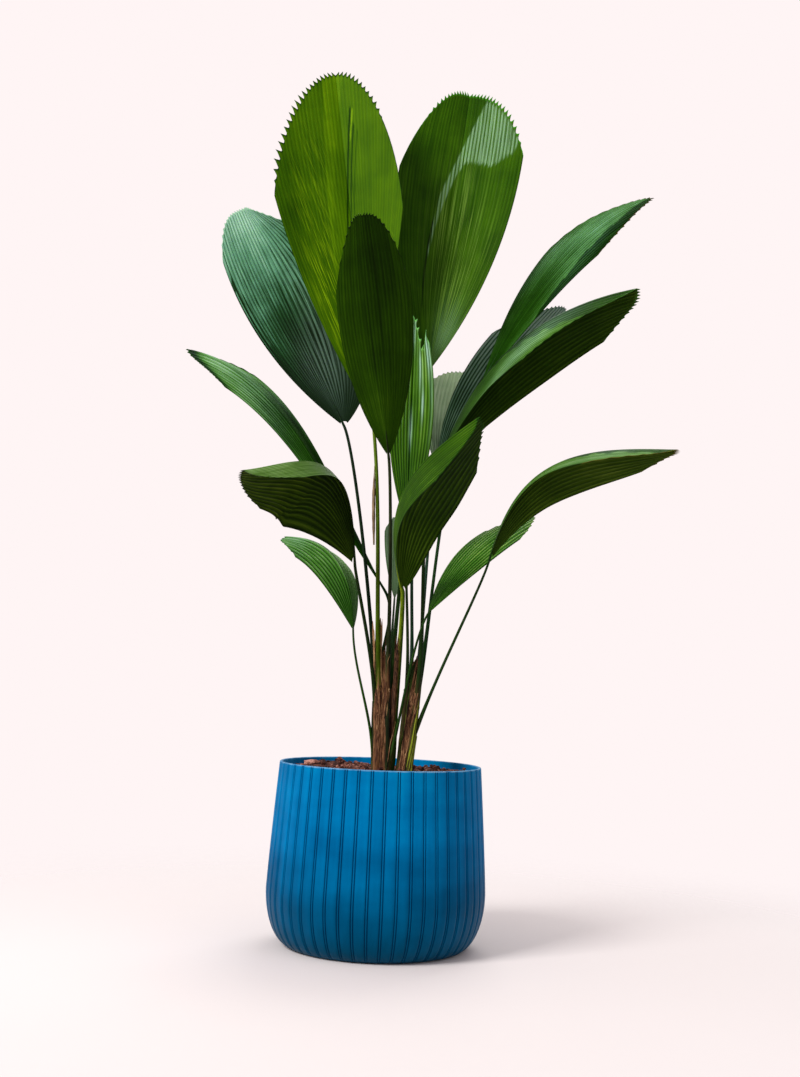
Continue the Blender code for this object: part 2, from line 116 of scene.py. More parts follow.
# A thin closed shell: the middle grid moved out by half its thickness, the same moved in and turned over, and
# a rim between their borders
def shellPart(middle, half, uv, values, flip=False):
    rows, columns = middle.shape[:2]
    count = rows * columns
    across, along = np.arange(columns - 1), columns * np.arange(rows - 1)
    loop = np.concatenate([across, columns - 1 + along, count - 1 - across, count - columns - along])
    after = np.roll(loop, -1)
    rim = np.stack([loop + count, after + count, after, loop], -1)
    faces = [gridFaces(rows, columns), gridFaces(rows, columns, flip=True, first=count), rim]
    return {"points": np.concatenate([(middle + half).reshape(-1, 3), (middle - half).reshape(-1, 3)]),
            "faces": [each[:, ::-1] for each in faces] if flip else faces,
            "uv": np.concatenate([uv, uv]),
            "values": {key: np.resize(value, 2 * count) for key, value in values.items()}}


# Several parts laid one after the other, with their faces renumbered
def joinParts(parts):
    starts = np.cumsum([0] + [len(part["points"]) for part in parts[:-1]])
    joined = {key: np.concatenate([part[key] for part in parts]) for key in ("points", "uv")}
    joined["faces"] = [faces + start for part, start in zip(parts, starts) for faces in part["faces"]]
    joined["values"] = {key: np.concatenate([part["values"][key] for part in parts])
                        for key in parts[0]["values"]}
    return joined


# Puts a part's arrays into a mesh object that rides on the root and may stand for a CAD node
def makePiece(name, part, material, nodes=(), sharpAngle=50):
    corners = np.concatenate([faces.ravel() for faces in part["faces"]]).astype(np.int32)
    sizes = np.concatenate([np.full(len(faces), faces.shape[1]) for faces in part["faces"]])
    mesh = bpy.data.meshes.new(name)
    mesh.vertices.add(len(part["points"]))
    mesh.vertices.foreach_set("co", part["points"].astype(np.float32).ravel())
    mesh.loops.add(len(corners))
    mesh.loops.foreach_set("vertex_index", corners)
    mesh.polygons.add(len(sizes))
    mesh.polygons.foreach_set("loop_start", np.concatenate([[0], np.cumsum(sizes)[:-1]]).astype(np.int32))
    mesh.update(calc_edges=True)
    layer = mesh.uv_layers.new(name="UVMap")
    layer.data.foreach_set("uv", part["uv"][corners].astype(np.float32).ravel())
    for key, value in part["values"].items():
        mesh.attributes.new(key, "FLOAT", "POINT").data.foreach_set("value", value.astype(np.float32))
    mesh.shade_smooth()
    mesh.set_sharp_from_angle(angle=math.radians(sharpAngle))
    mesh.materials.append(material)
    piece = bpy.data.objects.new(name, mesh)
    bpy.context.scene.collection.objects.link(piece)
    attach(piece, "root")
    if nodes:
        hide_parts(*nodes)


# Helpers for materials


# A colour as it looks on a screen, 0 to 255, as the shader's linear colour; a socket stays as it is
def seen(colour):
    if isinstance(colour, bpy.types.NodeSocket):
        return colour
    shares = [value / 255.0 for value in colour]
    return tuple(c / 12.92 if c <= 0.04045 else ((c + 0.055) / 1.055) ** 2.4 for c in shares) + (1.0,)


# A node whose inputs are linked where they are given as sockets, and set otherwise
def addNode(tree, kind, inputs=None, **settings):
    made = tree.nodes.new("ShaderNode" + kind)
    for key, value in settings.items():
        setattr(made, key, value)
    for key, value in (inputs or {}).items():
        if isinstance(value, bpy.types.NodeSocket):
            tree.links.new(value, made.inputs[key])
        else:
            made.inputs[key].default_value = value
    return made


# Two values multiplied, and kept from 0 to 1 where clamp is set
def product(tree, first, second, clamp=False):
    return addNode(tree, "Math", {0: first, 1: second}, operation="MULTIPLY", use_clamp=clamp).outputs[0]


# The first colour at a share of 0, the second at 1 and a blend between
def mixColours(tree, share, first, second):
    return addNode(tree, "Mix", {0: share, 6: seen(first), 7: seen(second)}, data_type="RGBA").outputs[2]


# A value stretched from one range to another, and clamped there
def stretch(tree, value, low, high, newLow=0.0, newHigh=1.0):
    inputs = {"Value": value, "From Min": low, "From Max": high, "To Min": newLow, "To Max": newHigh}
    return addNode(tree, "MapRange", inputs).outputs[0]


# Noise on coordinates that are first multiplied axis by axis
def noiseAt(tree, space, scales, detail=2.0, roughness=0.5):
    scaled = addNode(tree, "VectorMath", {0: space, 1: scales}, operation="MULTIPLY").outputs[0]
    settings = {"Vector": scaled, "Scale": 1.0, "Detail": detail, "Roughness": roughness}
    return addNode(tree, "TexNoise", settings).outputs["Fac"]


# A value that makePiece stored for each point
def attributeOf(tree, name):
    return addNode(tree, "Attribute", attribute_name=name).outputs["Fac"]


# 0.5 and each value's distance from its middle times its weight, for levels (value, weight, middle)
def blendLevels(tree, levels):
    total = 0.5
    for value, weight, middle in levels:
        offset = addNode(tree, "Math", {0: value, 1: -middle}, operation="ADD").outputs[0]
        total = addNode(tree, "Math", {0: offset, 1: weight, 2: total}, operation="MULTIPLY_ADD").outputs[0]
    return total


# The blend of the levels run through evenly spaced colours
def rampOf(tree, levels, colours):
    made = addNode(tree, "ValToRGB", {"Fac": blendLevels(tree, levels)})
    stops = made.color_ramp.elements
    for place in np.linspace(0.0, 1.0, len(colours))[1:-1]:
        stops.new(float(place))
    for stop, colour in zip(stops, colours):
        stop.color = seen(colour)
    return made.outputs["Color"]


# A new material with its nodes, its shader and the place on the piece
def startMaterial(name, roughness, specular, tint=(1.0, 1.0, 1.0, 1.0)):
    material = bpy.data.materials.new(name)
    material.use_nodes = True
    tree = material.node_tree
    shader = tree.nodes["Principled BSDF"]
    for key, value in (("Roughness", roughness), ("Specular IOR Level", specular), ("Specular Tint", tint)):
        shader.inputs[key].default_value = value
    return material, tree, shader, addNode(tree, "TexCoord").outputs["Object"]


# Links the colour, and the height as a bump of the surface
def finishMaterial(tree, shader, colour, height, strength, distance):
    bump = addNode(tree, "Bump", {"Height": height, "Strength": strength, "Distance": distance})
    tree.links.new(colour, shader.inputs["Base Color"])
    tree.links.new(bump.outputs[0], shader.inputs["Normal"])


# Planter: a turned wall with fifty flat bands between double grooves

planter = {
    "height": 0.243,
    "rimRadius": 0.137,
    "bellyRadius": 0.148,
    "bellyHeight": 0.074,
    "footRadius": 0.112,
    "wall": 0.004,
    "floor": 0.008,
    "floorRadius": 0.06,
    "footRings": (0.104, 0.108),
    "lowInside": (0.138, 0.030),
    "ledgeDepth": 0.009,
    "ledgeWidth": 0.003,
    "ledgeReach": 0.004,
    "ledgeEdge": 0.0004,
    "lipRadius": 0.0012,
    "bands": 50,
    "grooveShare": 0.30,
    "grooveDepth": 0.0015,
    "grooveFadeFrom": 0.006,
    "samplesOnBand": 4,
    "samplesInGroove": 16,
    "colours": ((0, 62, 104), (0, 89, 141), (0, 115, 174), (0, 142, 200)),
    # low: painted shade, the darker colour laid over the wall near the foot
    "low": (0, 60, 80),
    # lip: a painted highlight, the pale colour laid in streaks along the rim
    "lip": (120, 170, 205),
    # the groove colour: painted shade in the grooves
    "grooveShade": (0, 42, 82),
    "roughness": 0.4,
    "specular": 0.06,
    "tint": (0.0, 0.6, 1.0, 1.0),
}


# Radius against height: a quarter ellipse from the foot to the belly, then a slightly hollow taper to the rim
def wallRadius(height):
    low = np.clip(1.0 - height / planter["bellyHeight"], 0.0, 1.0)
    curve = planter["footRadius"] + (planter["bellyRadius"] - planter["footRadius"]) * np.sqrt(1.0 - low ** 2)
    rise = np.clip((height - planter["bellyHeight"]) / (planter["height"] - planter["bellyHeight"]), 0.0, 1.0)
    return curve + (planter["rimRadius"] - planter["bellyRadius"]) * rise ** 1.15


# Depth across one band and groove, where place runs from 0 to 1: two bell-shaped dips with a ridge between
# them
def grooveShape(place):
    inside = (place - 1.0 + planter["grooveShare"]) / planter["grooveShare"]
    dips = np.exp(-((inside - 0.22) / 0.12) ** 2) + np.exp(-((inside - 0.78) / 0.12) ** 2)
    return np.where(inside > -0.2, dips, 0.0)


# The profile's pairs of radius and height run under the foot, up the wall, over the half-round lip, down past
# the ledge and across the floor; each is turned round the axis, less the grooves' depth on the outside
def makePlanter():
    top, wall, floor, belly = (planter[key] for key in ("height", "wall", "floor", "bellyHeight"))
    lipFoot = top - planter["lipRadius"]
    lower = belly * (1.0 - np.cos(np.linspace(0.0, 0.5 * math.pi, 22)))
    outer = np.concatenate([lower, np.linspace(belly, lipFoot, 26)[1:-1], [lipFoot - 0.0006, lipFoot]])
    turn = np.linspace(0.0, math.pi, 9)[1:]
    lip = np.stack([planter["rimRadius"] - 0.5 * wall * (1.0 - np.cos(turn)),
                    top - planter["lipRadius"] * (1.0 - np.sin(turn))], -1)
    inner, ledge = planter["rimRadius"] - wall, top - planter["ledgeDepth"]
    below = inner - planter["ledgeWidth"]
    edge, beyond = planter["ledgeEdge"], planter["ledgeReach"]
    foot = [(ring, 0.0) for ring in (planter["floorRadius"], *planter["footRings"])]
    inside = [(inner, top - beyond), (inner, ledge + edge), (inner - edge, ledge), (below, ledge),
              (below - edge, ledge - edge), (below, ledge - beyond), (planter["bellyRadius"] - wall, belly),
              planter["lowInside"], (planter["footRadius"], floor), (planter["floorRadius"], floor)]
    radius, height = np.concatenate([foot, np.stack([wallRadius(outer), outer], -1), lip, inside]).T
    grooved, lipRow = np.zeros((2, len(radius)))
    outerEnd = len(foot) + len(outer)
    grooved[len(foot):outerEnd] = smoothStep(0.0, planter["grooveFadeFrom"], outer)
    lipRow[outerEnd - 1:outerEnd + 7] = 1.0
    bandEnd = 1.0 - planter["grooveShare"]
    place = np.concatenate([np.linspace(0.0, bandEnd, planter["samplesOnBand"], endpoint=False),
                            np.linspace(bandEnd, 1.0, planter["samplesInGroove"], endpoint=False)])
    band = np.repeat(np.arange(planter["bands"]), len(place))
    place = np.tile(place, planter["bands"])
    angle = (band + place - 1.0 + planter["grooveShare"] / 2) / planter["bands"] * fullTurn
    groove = grooved[:, None] * grooveShape(place)
    rows, columns = groove.shape
    grid = radius[:, None] - planter["grooveDepth"] * groove
    level = np.repeat(height[:, None], columns, 1)
    points = np.stack([grid * np.cos(angle), grid * np.sin(angle), level], -1)
    ends = [[0, 0], [0, 0]]
    part = {"points": np.concatenate([points.reshape(-1, 3), [[0, 0, 0], [0, 0, floor]]]),
            "faces": tubeFaces(rows, columns),
            "uv": np.concatenate([gridPairs(angle / fullTurn, height), ends]),
            "values": {"groove": np.append(groove, [0, 0]),
                       "lip": np.append(np.repeat(lipRow, columns), [0, 0])}}
    makePiece("ribbed_planter", part, planterMaterial(), ["planter"], 35)


# Satin blue with faint streaks, painted shade in the grooves and towards the foot, and a pale painted
# highlight along the lip, broken into streaks
def planterMaterial():
    material, tree, shader, space = startMaterial(
        "satinBluePlanter", planter["roughness"], planter["specular"], planter["tint"])
    height = addNode(tree, "SeparateXYZ", {0: space}).outputs["Z"]
    cloud = noiseAt(tree, space, (9.0, 9.0, 20.0), 3.0)
    streak = noiseAt(tree, space, (70.0, 70.0, 4.0))
    # Painted shade: the height in the ramp and the low colour make the wall darker towards the foot and paler
    # towards the rim
    levels = [(stretch(tree, height, 0.0, 0.24), 0.45, 0.55), (cloud, 0.8, 0.5), (streak, 0.5, 0.5)]
    colour = rampOf(tree, levels, planter["colours"])
    colour = mixColours(tree, stretch(tree, height, 0.0, 0.15, 0.8, 0.0), colour, planter["low"])
    # Painted shade in the grooves: the dips are darkened towards the groove colour
    groove = stretch(tree, attributeOf(tree, "groove"), 0.12, 0.85, 0.0, 0.75)
    colour = mixColours(tree, groove, colour, planter["grooveShade"])
    # Painted highlight: a pale line along the lip, broken into streaks by the streak noise
    worn = product(tree, attributeOf(tree, "lip"), stretch(tree, streak, 0.3, 0.6, 0.0, 0.7))
    colour = mixColours(tree, worn, colour, planter["lip"])
    tree.links.new(stretch(tree, cloud, 0.0, 1.0, 0.34, 0.5), shader.inputs["Roughness"])
    finishMaterial(tree, shader, colour, noiseAt(tree, space, (420.0, 420.0, 420.0)), 0.12, 0.0004)
    return material


# Soil: a lumpy bed higher at the back left, with bark chips on it. Large lumps are (x, y, size, tone)

soil = {
    "top": 0.232,
    "radius": 0.1292,
    "relief": 0.005,
    "skirt": 0.03,
    "sectors": 150,
    "rings": 46,
    "chips": 420,
    "chipSize": (0.0025, 0.0075),
    "largeLumps": ((-0.098, 0.045, 0.0105, 1.5), (-0.083, 0.066, 0.0095, 0.0), (-0.035, 0.088, 0.0085, 0.1),
                   (-0.108, 0.020, 0.0070, 0.3), (0.078, 0.075, 0.0060, 0.9), (-0.060, 0.080, 0.0065, 0.7)),
    "colours": ((22, 10, 8), (66, 36, 30), (120, 74, 62), (204, 150, 134)),
}


# The CAD bed's sine lumps and rise at the back left, with finer lumps added
def soilHeight(x, y):
    lumps = np.sin(95 * x + 1.0) * np.cos(80 * y) + 0.6 * np.sin(150 * x - 110 * y + 0.7)
    rise = 0.004 * np.exp(-((x + 0.07) ** 2 + (y - 0.07) ** 2) / 0.0012)
    fine = 0.0009 * rolling(x, y, 11, 0.012, 9) + 0.0006 * rolling(x, y, 12, 0.005, 9)
    return soil["top"] + 0.5 * soil["relief"] * lumps + rise + fine


# A pair of coordinates turned by an angle
def turned(first, second, angle):
    cos, sin = np.cos(angle)[:, None], np.sin(angle)[:, None]
    return first * cos - second * sin, first * sin + second * cos


# Rounded chips: a small globe of points, stretched and turned at random and dented by waves
def chipParts(x, y, size, tones, seed):
    draw = np.random.default_rng(seed)
    count, around, rise = len(x), roundAngles(6), np.radians([-50.0, 0.0, 50.0])[:, None]
    rings = np.stack([np.cos(rise) * np.cos(around), np.cos(rise) * np.sin(around),
                      np.sin(rise) * np.ones(6)], -1)
    globe = np.concatenate([rings.reshape(-1, 3), [[0, 0, -1], [0, 0, 1]]])
    dent = draw.uniform(0.72, 1.2, (count, len(globe), 1))
    shape = globe[None] * dent * draw.uniform((0.7, 0.45, 0.35), (1.3, 0.9, 0.7), (count, 3))[:, None, :]
    turn, tilt = draw.uniform(0, fullTurn, count), draw.uniform(-0.6, 0.6, count)
    flatX, flatZ = turned(shape[..., 0], shape[..., 2], -tilt)
    placeX, placeY = turned(flatX, shape[..., 1], turn)
    middle = np.stack([x, y, soilHeight(x, y) + 0.25 * size], -1)
    points = np.stack([placeX, placeY, flatZ], -1) * size[:, None, None] + middle[:, None, :]
    body, *caps = tubeFaces(3, 6)
    starts = (np.arange(count) * len(globe))[:, None, None]
    faces = [(each[None] + starts).reshape(-1, each.shape[1]) for each in (body, np.concatenate(caps))]
    return {"points": points.reshape(-1, 3), "faces": faces, "uv": np.zeros((count * len(globe), 2)),
            "values": {"tone": np.repeat(tones, len(globe))}}


# Bed: rings of points from the middle to the pot's wall at soilHeight, with a skirt below the last. Chips are
# spread evenly over it, each at the bed's radius times the square root of an even draw.
def makeSoil():
    rows, columns, count = soil["rings"], soil["sectors"], soil["chips"]
    angle = roundAngles(columns)
    ring = soil["radius"] * np.linspace(0.0, 1.0, rows)[1:, None]
    x, y = ring * np.cos(angle), ring * np.sin(angle)
    low = soil["top"] - soil["skirt"]
    skirt = np.stack([x[-1] * 0.995, y[-1] * 0.995, np.full(columns, low)], -1)
    top = np.stack([x, y, soilHeight(x, y)], -1).reshape(-1, 3)
    points = np.concatenate([top, skirt, [[0, 0, float(soilHeight(0.0, 0.0))], [0, 0, low]]])
    bed = {"points": points, "faces": tubeFaces(rows, columns, flip=True), "uv": points[:, :2] * 4.0,
           "values": {"tone": np.full(len(points), 0.5)}}
    material = soilMaterial()
    makePiece("potting_mix", bed, material, ["soil"], 60)
    draw = np.random.default_rng(5)
    reach = soil["radius"] * 0.96 * np.sqrt(draw.uniform(0.0, 1.0, count))
    turn = draw.uniform(0.0, fullTurn, count)
    size = draw.uniform(*soil["chipSize"], count) * draw.uniform(0.5, 1.0, count)
    small = np.stack([reach * np.cos(turn), reach * np.sin(turn), size, draw.uniform(0.0, 1.0, count)], -1)
    chips = chipParts(*np.concatenate([small, soil["largeLumps"]]).T, 9)
    makePiece("bark_chips", chips, material, (), 30)


# Brown crumbs from dark to pale, each chip with its own shade
def soilMaterial():
    material, tree, shader, space = startMaterial("pottingMix", 0.95, 0.15)
    crumbs = noiseAt(tree, space, (260.0, 260.0, 260.0), 4.0, 0.65)
    cloud = noiseAt(tree, space, (45.0, 45.0, 45.0))
    levels = [(crumbs, 2.0, 0.5), (cloud, 1.2, 0.5), (attributeOf(tree, "tone"), 0.35, 0.6)]
    finishMaterial(tree, shader, rampOf(tree, levels, soil["colours"]), crumbs, 0.9, 0.0015)
    return material


# Stems: a fibrous core with ragged strips, the bases of the stalks beside it. Angles are in degrees round the
# axis, -90 towards the viewer. brown, dark and green are the spans of the front's strips, twist is how far
# they turn in a metre, and scraps are single shreds: (low end, high end, width, tone).

stems = {
    "stem_left": {"foot": (0.002, 0.0, 0.232), "top": (-0.001, 0.0, 0.392), "radius": (0.0115, 0.008),
                  "strips": 120, "stripTop": (0.30, 0.425), "seed": 21,
                  "brown": (-143, -72), "dark": (-52, -5), "twist": 0, "greenTone": (0.0, 0.35),
                  "green": ((-205, -146), (-72, -54), (0, 50)),
                  "scraps": (((0.0075, -0.0135, 0.240), (0.0180, -0.0125, 0.302), 0.0011, 1.0),
                             ((0.0035, -0.0125, 0.374), (0.0065, -0.0150, 0.392), 0.0009, 1.6),
                             ((0.0075, -0.0115, 0.340), (0.0072, -0.0140, 0.346), 0.0024, 2.4))},
    "stem_right": {"foot": (0.032, 0.0, 0.232), "top": (0.043, 0.0, 0.385), "radius": (0.009, 0.0065),
                   "strips": 90, "stripTop": (0.27, 0.405), "seed": 33,
                   "brown": (-157, -88), "dark": (-157, -140), "twist": 400, "greenTone": (0.3, 1.2),
                   "green": ((-200, -160), (-86, -20), (0, 50)), "scraps": ()},
}
bark = {
    "below": 0.02,
    "sides": 96,
    "rings": 80,
    "fibreDepth": 0.0009,
    "stripWidth": (0.0010, 0.0034),
    "stripThickness": 0.0003,
    "stripRows": 22,
    "scrapThickness": 0.0005,
    "scrapRows": 14,
    "brownShare": 0.45,
    "greenShare": 0.35,
    "darkShare": 0.3,
    "darkTone": (-0.9, -0.3),
    "peel": 0.0035,
    "greenWidth": (0.0022, 0.0044),
    "greens": ((8, 20, 4), (22, 42, 10), (58, 80, 16), (150, 166, 40)),
    "back": (50, 145),
    "colours": ((34, 20, 13), (88, 56, 38), (134, 92, 62), (190, 150, 106)),
}


# The stem's axis point and radius at a height
def stemAt(stem, height):
    foot, top = np.array(stem["foot"]), np.array(stem["top"])
    share = (np.asarray(height, float) - foot[2]) / (top[2] - foot[2])
    low, high = stem["radius"]
    return foot + (top - foot) * share[..., None], low + (high - low) * np.clip(share, 0.0, 1.3)


# Distance from the axis to the outside of the core and of the stalks' feet against it, in a direction
def outsideAt(name, angle, height):
    stem = stems[name]
    core = stemAt(stem, height)[1]
    reach = core
    for leaf in fronds.values():
        turn = angle - math.radians(leaf["side"])
        bend = smoothStep(stem["foot"][2], leaf["foot"], height)
        middle = core + stalk["standOut"] * leaf["petiole"] * bend
        thick = 0.5 * leaf["petiole"] * stalk["footWidth"]
        hit = middle * np.cos(turn) + np.sqrt(np.maximum(thick ** 2 - (middle * np.sin(turn)) ** 2, 0.0))
        near = (np.abs(middle * np.sin(turn)) < thick) & (np.cos(turn) > 0.0) & (height < leaf["foot"])
        reach = np.where(near & (leaf["stem"] == name), np.maximum(reach, hit), reach)
    return reach


# 0 where a direction falls in the stem's brown, dark or back span and 1 where it is green; spans turn with
# height
def greenAt(stem, angle, height):
    degrees = np.degrees(angle) - stem["twist"] * (height - stem["foot"][2])
    share = np.ones(np.broadcast(degrees, height).shape)
    for low, high in (stem["brown"], stem["dark"], bark["back"]):
        offset = (degrees - 0.5 * (low + high) + 180.0) % 360.0 - 180.0
        share = share * smoothStep(0.5 * (high - low) - 2.0, 0.5 * (high - low) + 4.0, np.abs(offset))
    return share


# Core: rings up the axis whose radius falls between fibres, closing over a ragged top
def corePart(stem):
    rows, columns = bark["rings"], bark["sides"]
    angle, step = roundAngles(columns)[None, :], np.linspace(0.0, 1.0, rows)[:, None]
    low, high = stem["foot"][2] - bark["below"], stem["top"][2]
    ragged = 0.006 * rolling(angle * 0.01, angle * 0 + 0.3, stem["seed"], 0.012)
    height = low + (high + ragged - low) * step
    axis, radius = stemAt(stem, height)
    wander = angle + 0.25 * rolling(height, height * 0, stem["seed"] + 1, 0.09)
    grain = 0.5 + 0.5 * np.sin(17 * wander) * np.cos(9 * wander + 60 * height)
    knots = rolling(angle * radius * 6, height, stem["seed"] + 2, 0.02)
    closing = 0.7 * smoothStep(0.93, 1.0, step) * radius
    radius = radius - bark["fibreDepth"] * (1.2 * grain + 0.35 * knots) - closing
    points = axis + np.stack([radius * np.cos(angle), radius * np.sin(angle), np.zeros_like(radius)], -1)
    points = points.reshape(-1, 3)
    ends = [points[:columns].mean(0), points[-columns:].mean(0) - (0, 0, 0.004)]
    tone = np.append(0.3 + 0.4 * grain, [0.2, 0.2])
    green = np.append(greenAt(stem, angle, height), [0.0, 0.0])
    uv = np.stack([np.broadcast_to(angle / fullTurn, height.shape).ravel(), height.ravel()], -1)
    return {"points": np.concatenate([points, ends]), "faces": tubeFaces(rows, columns),
            "uv": np.concatenate([uv, uv[:1], uv[-1:]]), "values": {"tone": tone, "green": green}}


# A ribbon of given middle points, outward directions and widths, bent away from its outer side
def ribbonPart(middle, outward, width, thickness, tone, green):
    across = unit(np.cross(unit(np.gradient(middle, axis=0)), outward))
    place = np.linspace(-0.5, 0.5, 4)
    wide = place[None, :, None] * width[:, None, None]
    outward = outward[:, None, :]
    sheet = middle[:, None, :] + across[:, None, :] * wide - outward * (1.6 * place[:, None] * wide)
    uv = gridPairs(place + 0.5, np.linspace(0, 1, len(middle)))
    return shellPart(sheet, 0.5 * thickness * outward, uv, {"tone": tone, "green": green}, flip=True)


# Strips run up the stem with its twist, over the feet of the stalks. Brown ones peel away at their tops, and
# green ones are broad and lie close.
def stripParts(name, stem):
    draw = np.random.default_rng(stem["seed"] + 5)
    base, parts = stem["foot"][2], []
    for _ in range(stem["strips"]):
        kind = draw.uniform()
        green = kind > 1.0 - bark["greenShare"]
        dark = green and draw.uniform() < bark["darkShare"]
        span = stem["brown"] if kind < bark["brownShare"] else bark["back"]
        span = stem["dark"] if dark else stem["green"][int(draw.integers(3))] if green else span
        green = green and not dark
        turn = math.radians(draw.uniform(*span))
        low = draw.uniform(base - 0.004, base + (0.03 if green else 0.10))
        high = low + draw.uniform(0.6 if green else 0.3, 1.0) * (draw.uniform(*stem["stripTop"]) - low)
        step = np.linspace(0.0, 1.0, bark["stripRows"])
        height = low + (high - low) * step
        angle = turn + draw.uniform(-0.12, 0.12) * step + 0.04 * np.sin(9 * step + turn)
        angle = angle + math.radians(stem["twist"]) * (height - base)
        peel = draw.uniform(0.0, 0.0 if green else bark["peel"]) * step ** 6
        peel = peel + 0.0002 * np.sin(14 * step + turn)
        outward = np.stack([np.cos(angle), np.sin(angle), np.zeros_like(angle)], -1)
        reach = outsideAt(name, angle, height) + draw.uniform(0.0001, 0.0009)
        middle = stemAt(stem, height)[0] + outward * (reach + peel)[:, None]
        width = draw.uniform(*bark["greenWidth" if green else "stripWidth"]) * (1.0 - step ** 4)
        width = width * (0.25 + 0.75 * smoothStep(0.0, 0.25, step))
        width = width * (1.0 + 0.2 * np.sin(11 * step + turn)) + 0.0002
        tone = draw.uniform(*(stem["greenTone"] if green else bark["darkTone"] if dark else (0.0, 1.0)))
        parts.append(ribbonPart(middle, outward, width, bark["stripThickness"], tone, 0.95 if green else 0.0))
    for low, high, width, tone in stem["scraps"]:
        step = np.linspace(0.0, 1.0, bark["scrapRows"])
        middle = np.array(low) + (np.array(high) - np.array(low)) * step[:, None]
        middle[:, 0] += 0.0006 * np.sin(7 * step + tone)
        outward = np.tile(towardViewer, (len(step), 1))
        width = width * (1.1 - step ** 2)
        parts.append(ribbonPart(middle, outward, width, bark["scrapThickness"], tone, 0.0))
    return parts


# Bark browns in long fibres with each strip's own shade, and the greens of the stalks' bases
def barkMaterial():
    material, tree, shader, space = startMaterial("palmFibre", 0.85, 0.2)
    fibres = noiseAt(tree, space, (900.0, 900.0, 40.0), 3.0, 0.6)
    cloud = noiseAt(tree, space, (120.0, 120.0, 60.0), 3.0)
    tone = attributeOf(tree, "tone")
    brown = rampOf(tree, [(fibres, 1.6, 0.5), (cloud, 0.9, 0.5), (tone, 0.5, 0.5)], bark["colours"])
    green = rampOf(tree, [(fibres, 0.7, 0.5), (cloud, 0.7, 0.5), (tone, 0.8, 0.5)], bark["greens"])
    colour = mixColours(tree, attributeOf(tree, "green"), brown, green)
    finishMaterial(tree, shader, colour, fibres, 0.8, 0.0008)
    return material


# Each stem's core and strips as one piece
def makeStems():
    material = barkMaterial()
    for name, stem in stems.items():
        part = joinParts([corePart(stem)] + stripParts(name, stem))
        makePiece(name + "_bark", part, material, [name], 40)


# Fronds: a pleated blade with a toothed end on a stalk that leaves the stem's side. Places on a blade are s
# across, from -1 at the left margin to 1, and t along, from 0 at the hub to 1 at the end. Where a field holds
# a pair, it is for the left and the right half. hub is where stalk and blade meet, tip is the end of the
# middle rib, and half is the width of each half. belly, rounding, crown, fold, arch and skew bend the outline
# and the blade as bladePoints says, and roll turns it. fingers are (s values, added length). side and foot
# are where the stalk leaves its stem, lean and ease how it curves. upper, under and stalk run from deep to
# pale; each leaf's ramps are set lighter or darker by how much light falls on it, and the face of a leaf
# that lies in shade gets the darker ramp, so they hold painted light and painted shade. tones, the painted
# sheen spots and worn are soft patches: (s, t, width across, width along, amount), where tones run from -1
# dark to 1 light and are for the most part painted shade and painted light, and the sheen spots paint a
# sheen of glints and reflections. panels lie between two lines that run up the blade: (t values, left s,
# right s, tone, painted sheen), and paint shade, cast shadow, light and reflection in bands. sheath is (low,
# high, how far torn, width against the stalk's). plainFrond holds what most leaves share, and each leaf then
# says only what differs.

plainFrond = {
    "arch": 0.0, "skew": 0.0, "roll": 0, "lean": 0.06, "ease": 0.3, "ripple": 1.0, "toothLean": 0.4,
    "smoothFrom": 1.0, "fingers": ((-1.0, 1.0), (0.0, 0.0)),
    "gloss": 0.5, "shine": 0.16, "sheen": (0.5, 0.9, 0.3, 1.0), "streak": 0.7, "patchy": 0.5, "stripe": 0.14,
    "lines": 0.25, "margin": 0.5, "sheenColour": (160, 200, 178), "wornTurn": None,
    "tones": (), "wax": (), "worn": (), "panels": (),
    "dryness": 0.35, "dryReach": 0.015, "dryLeft": False, "footShade": 0.0, "sideShade": 0.25,
    "sheath": None, "sheathSpan": None, "sheathTone": None,
}

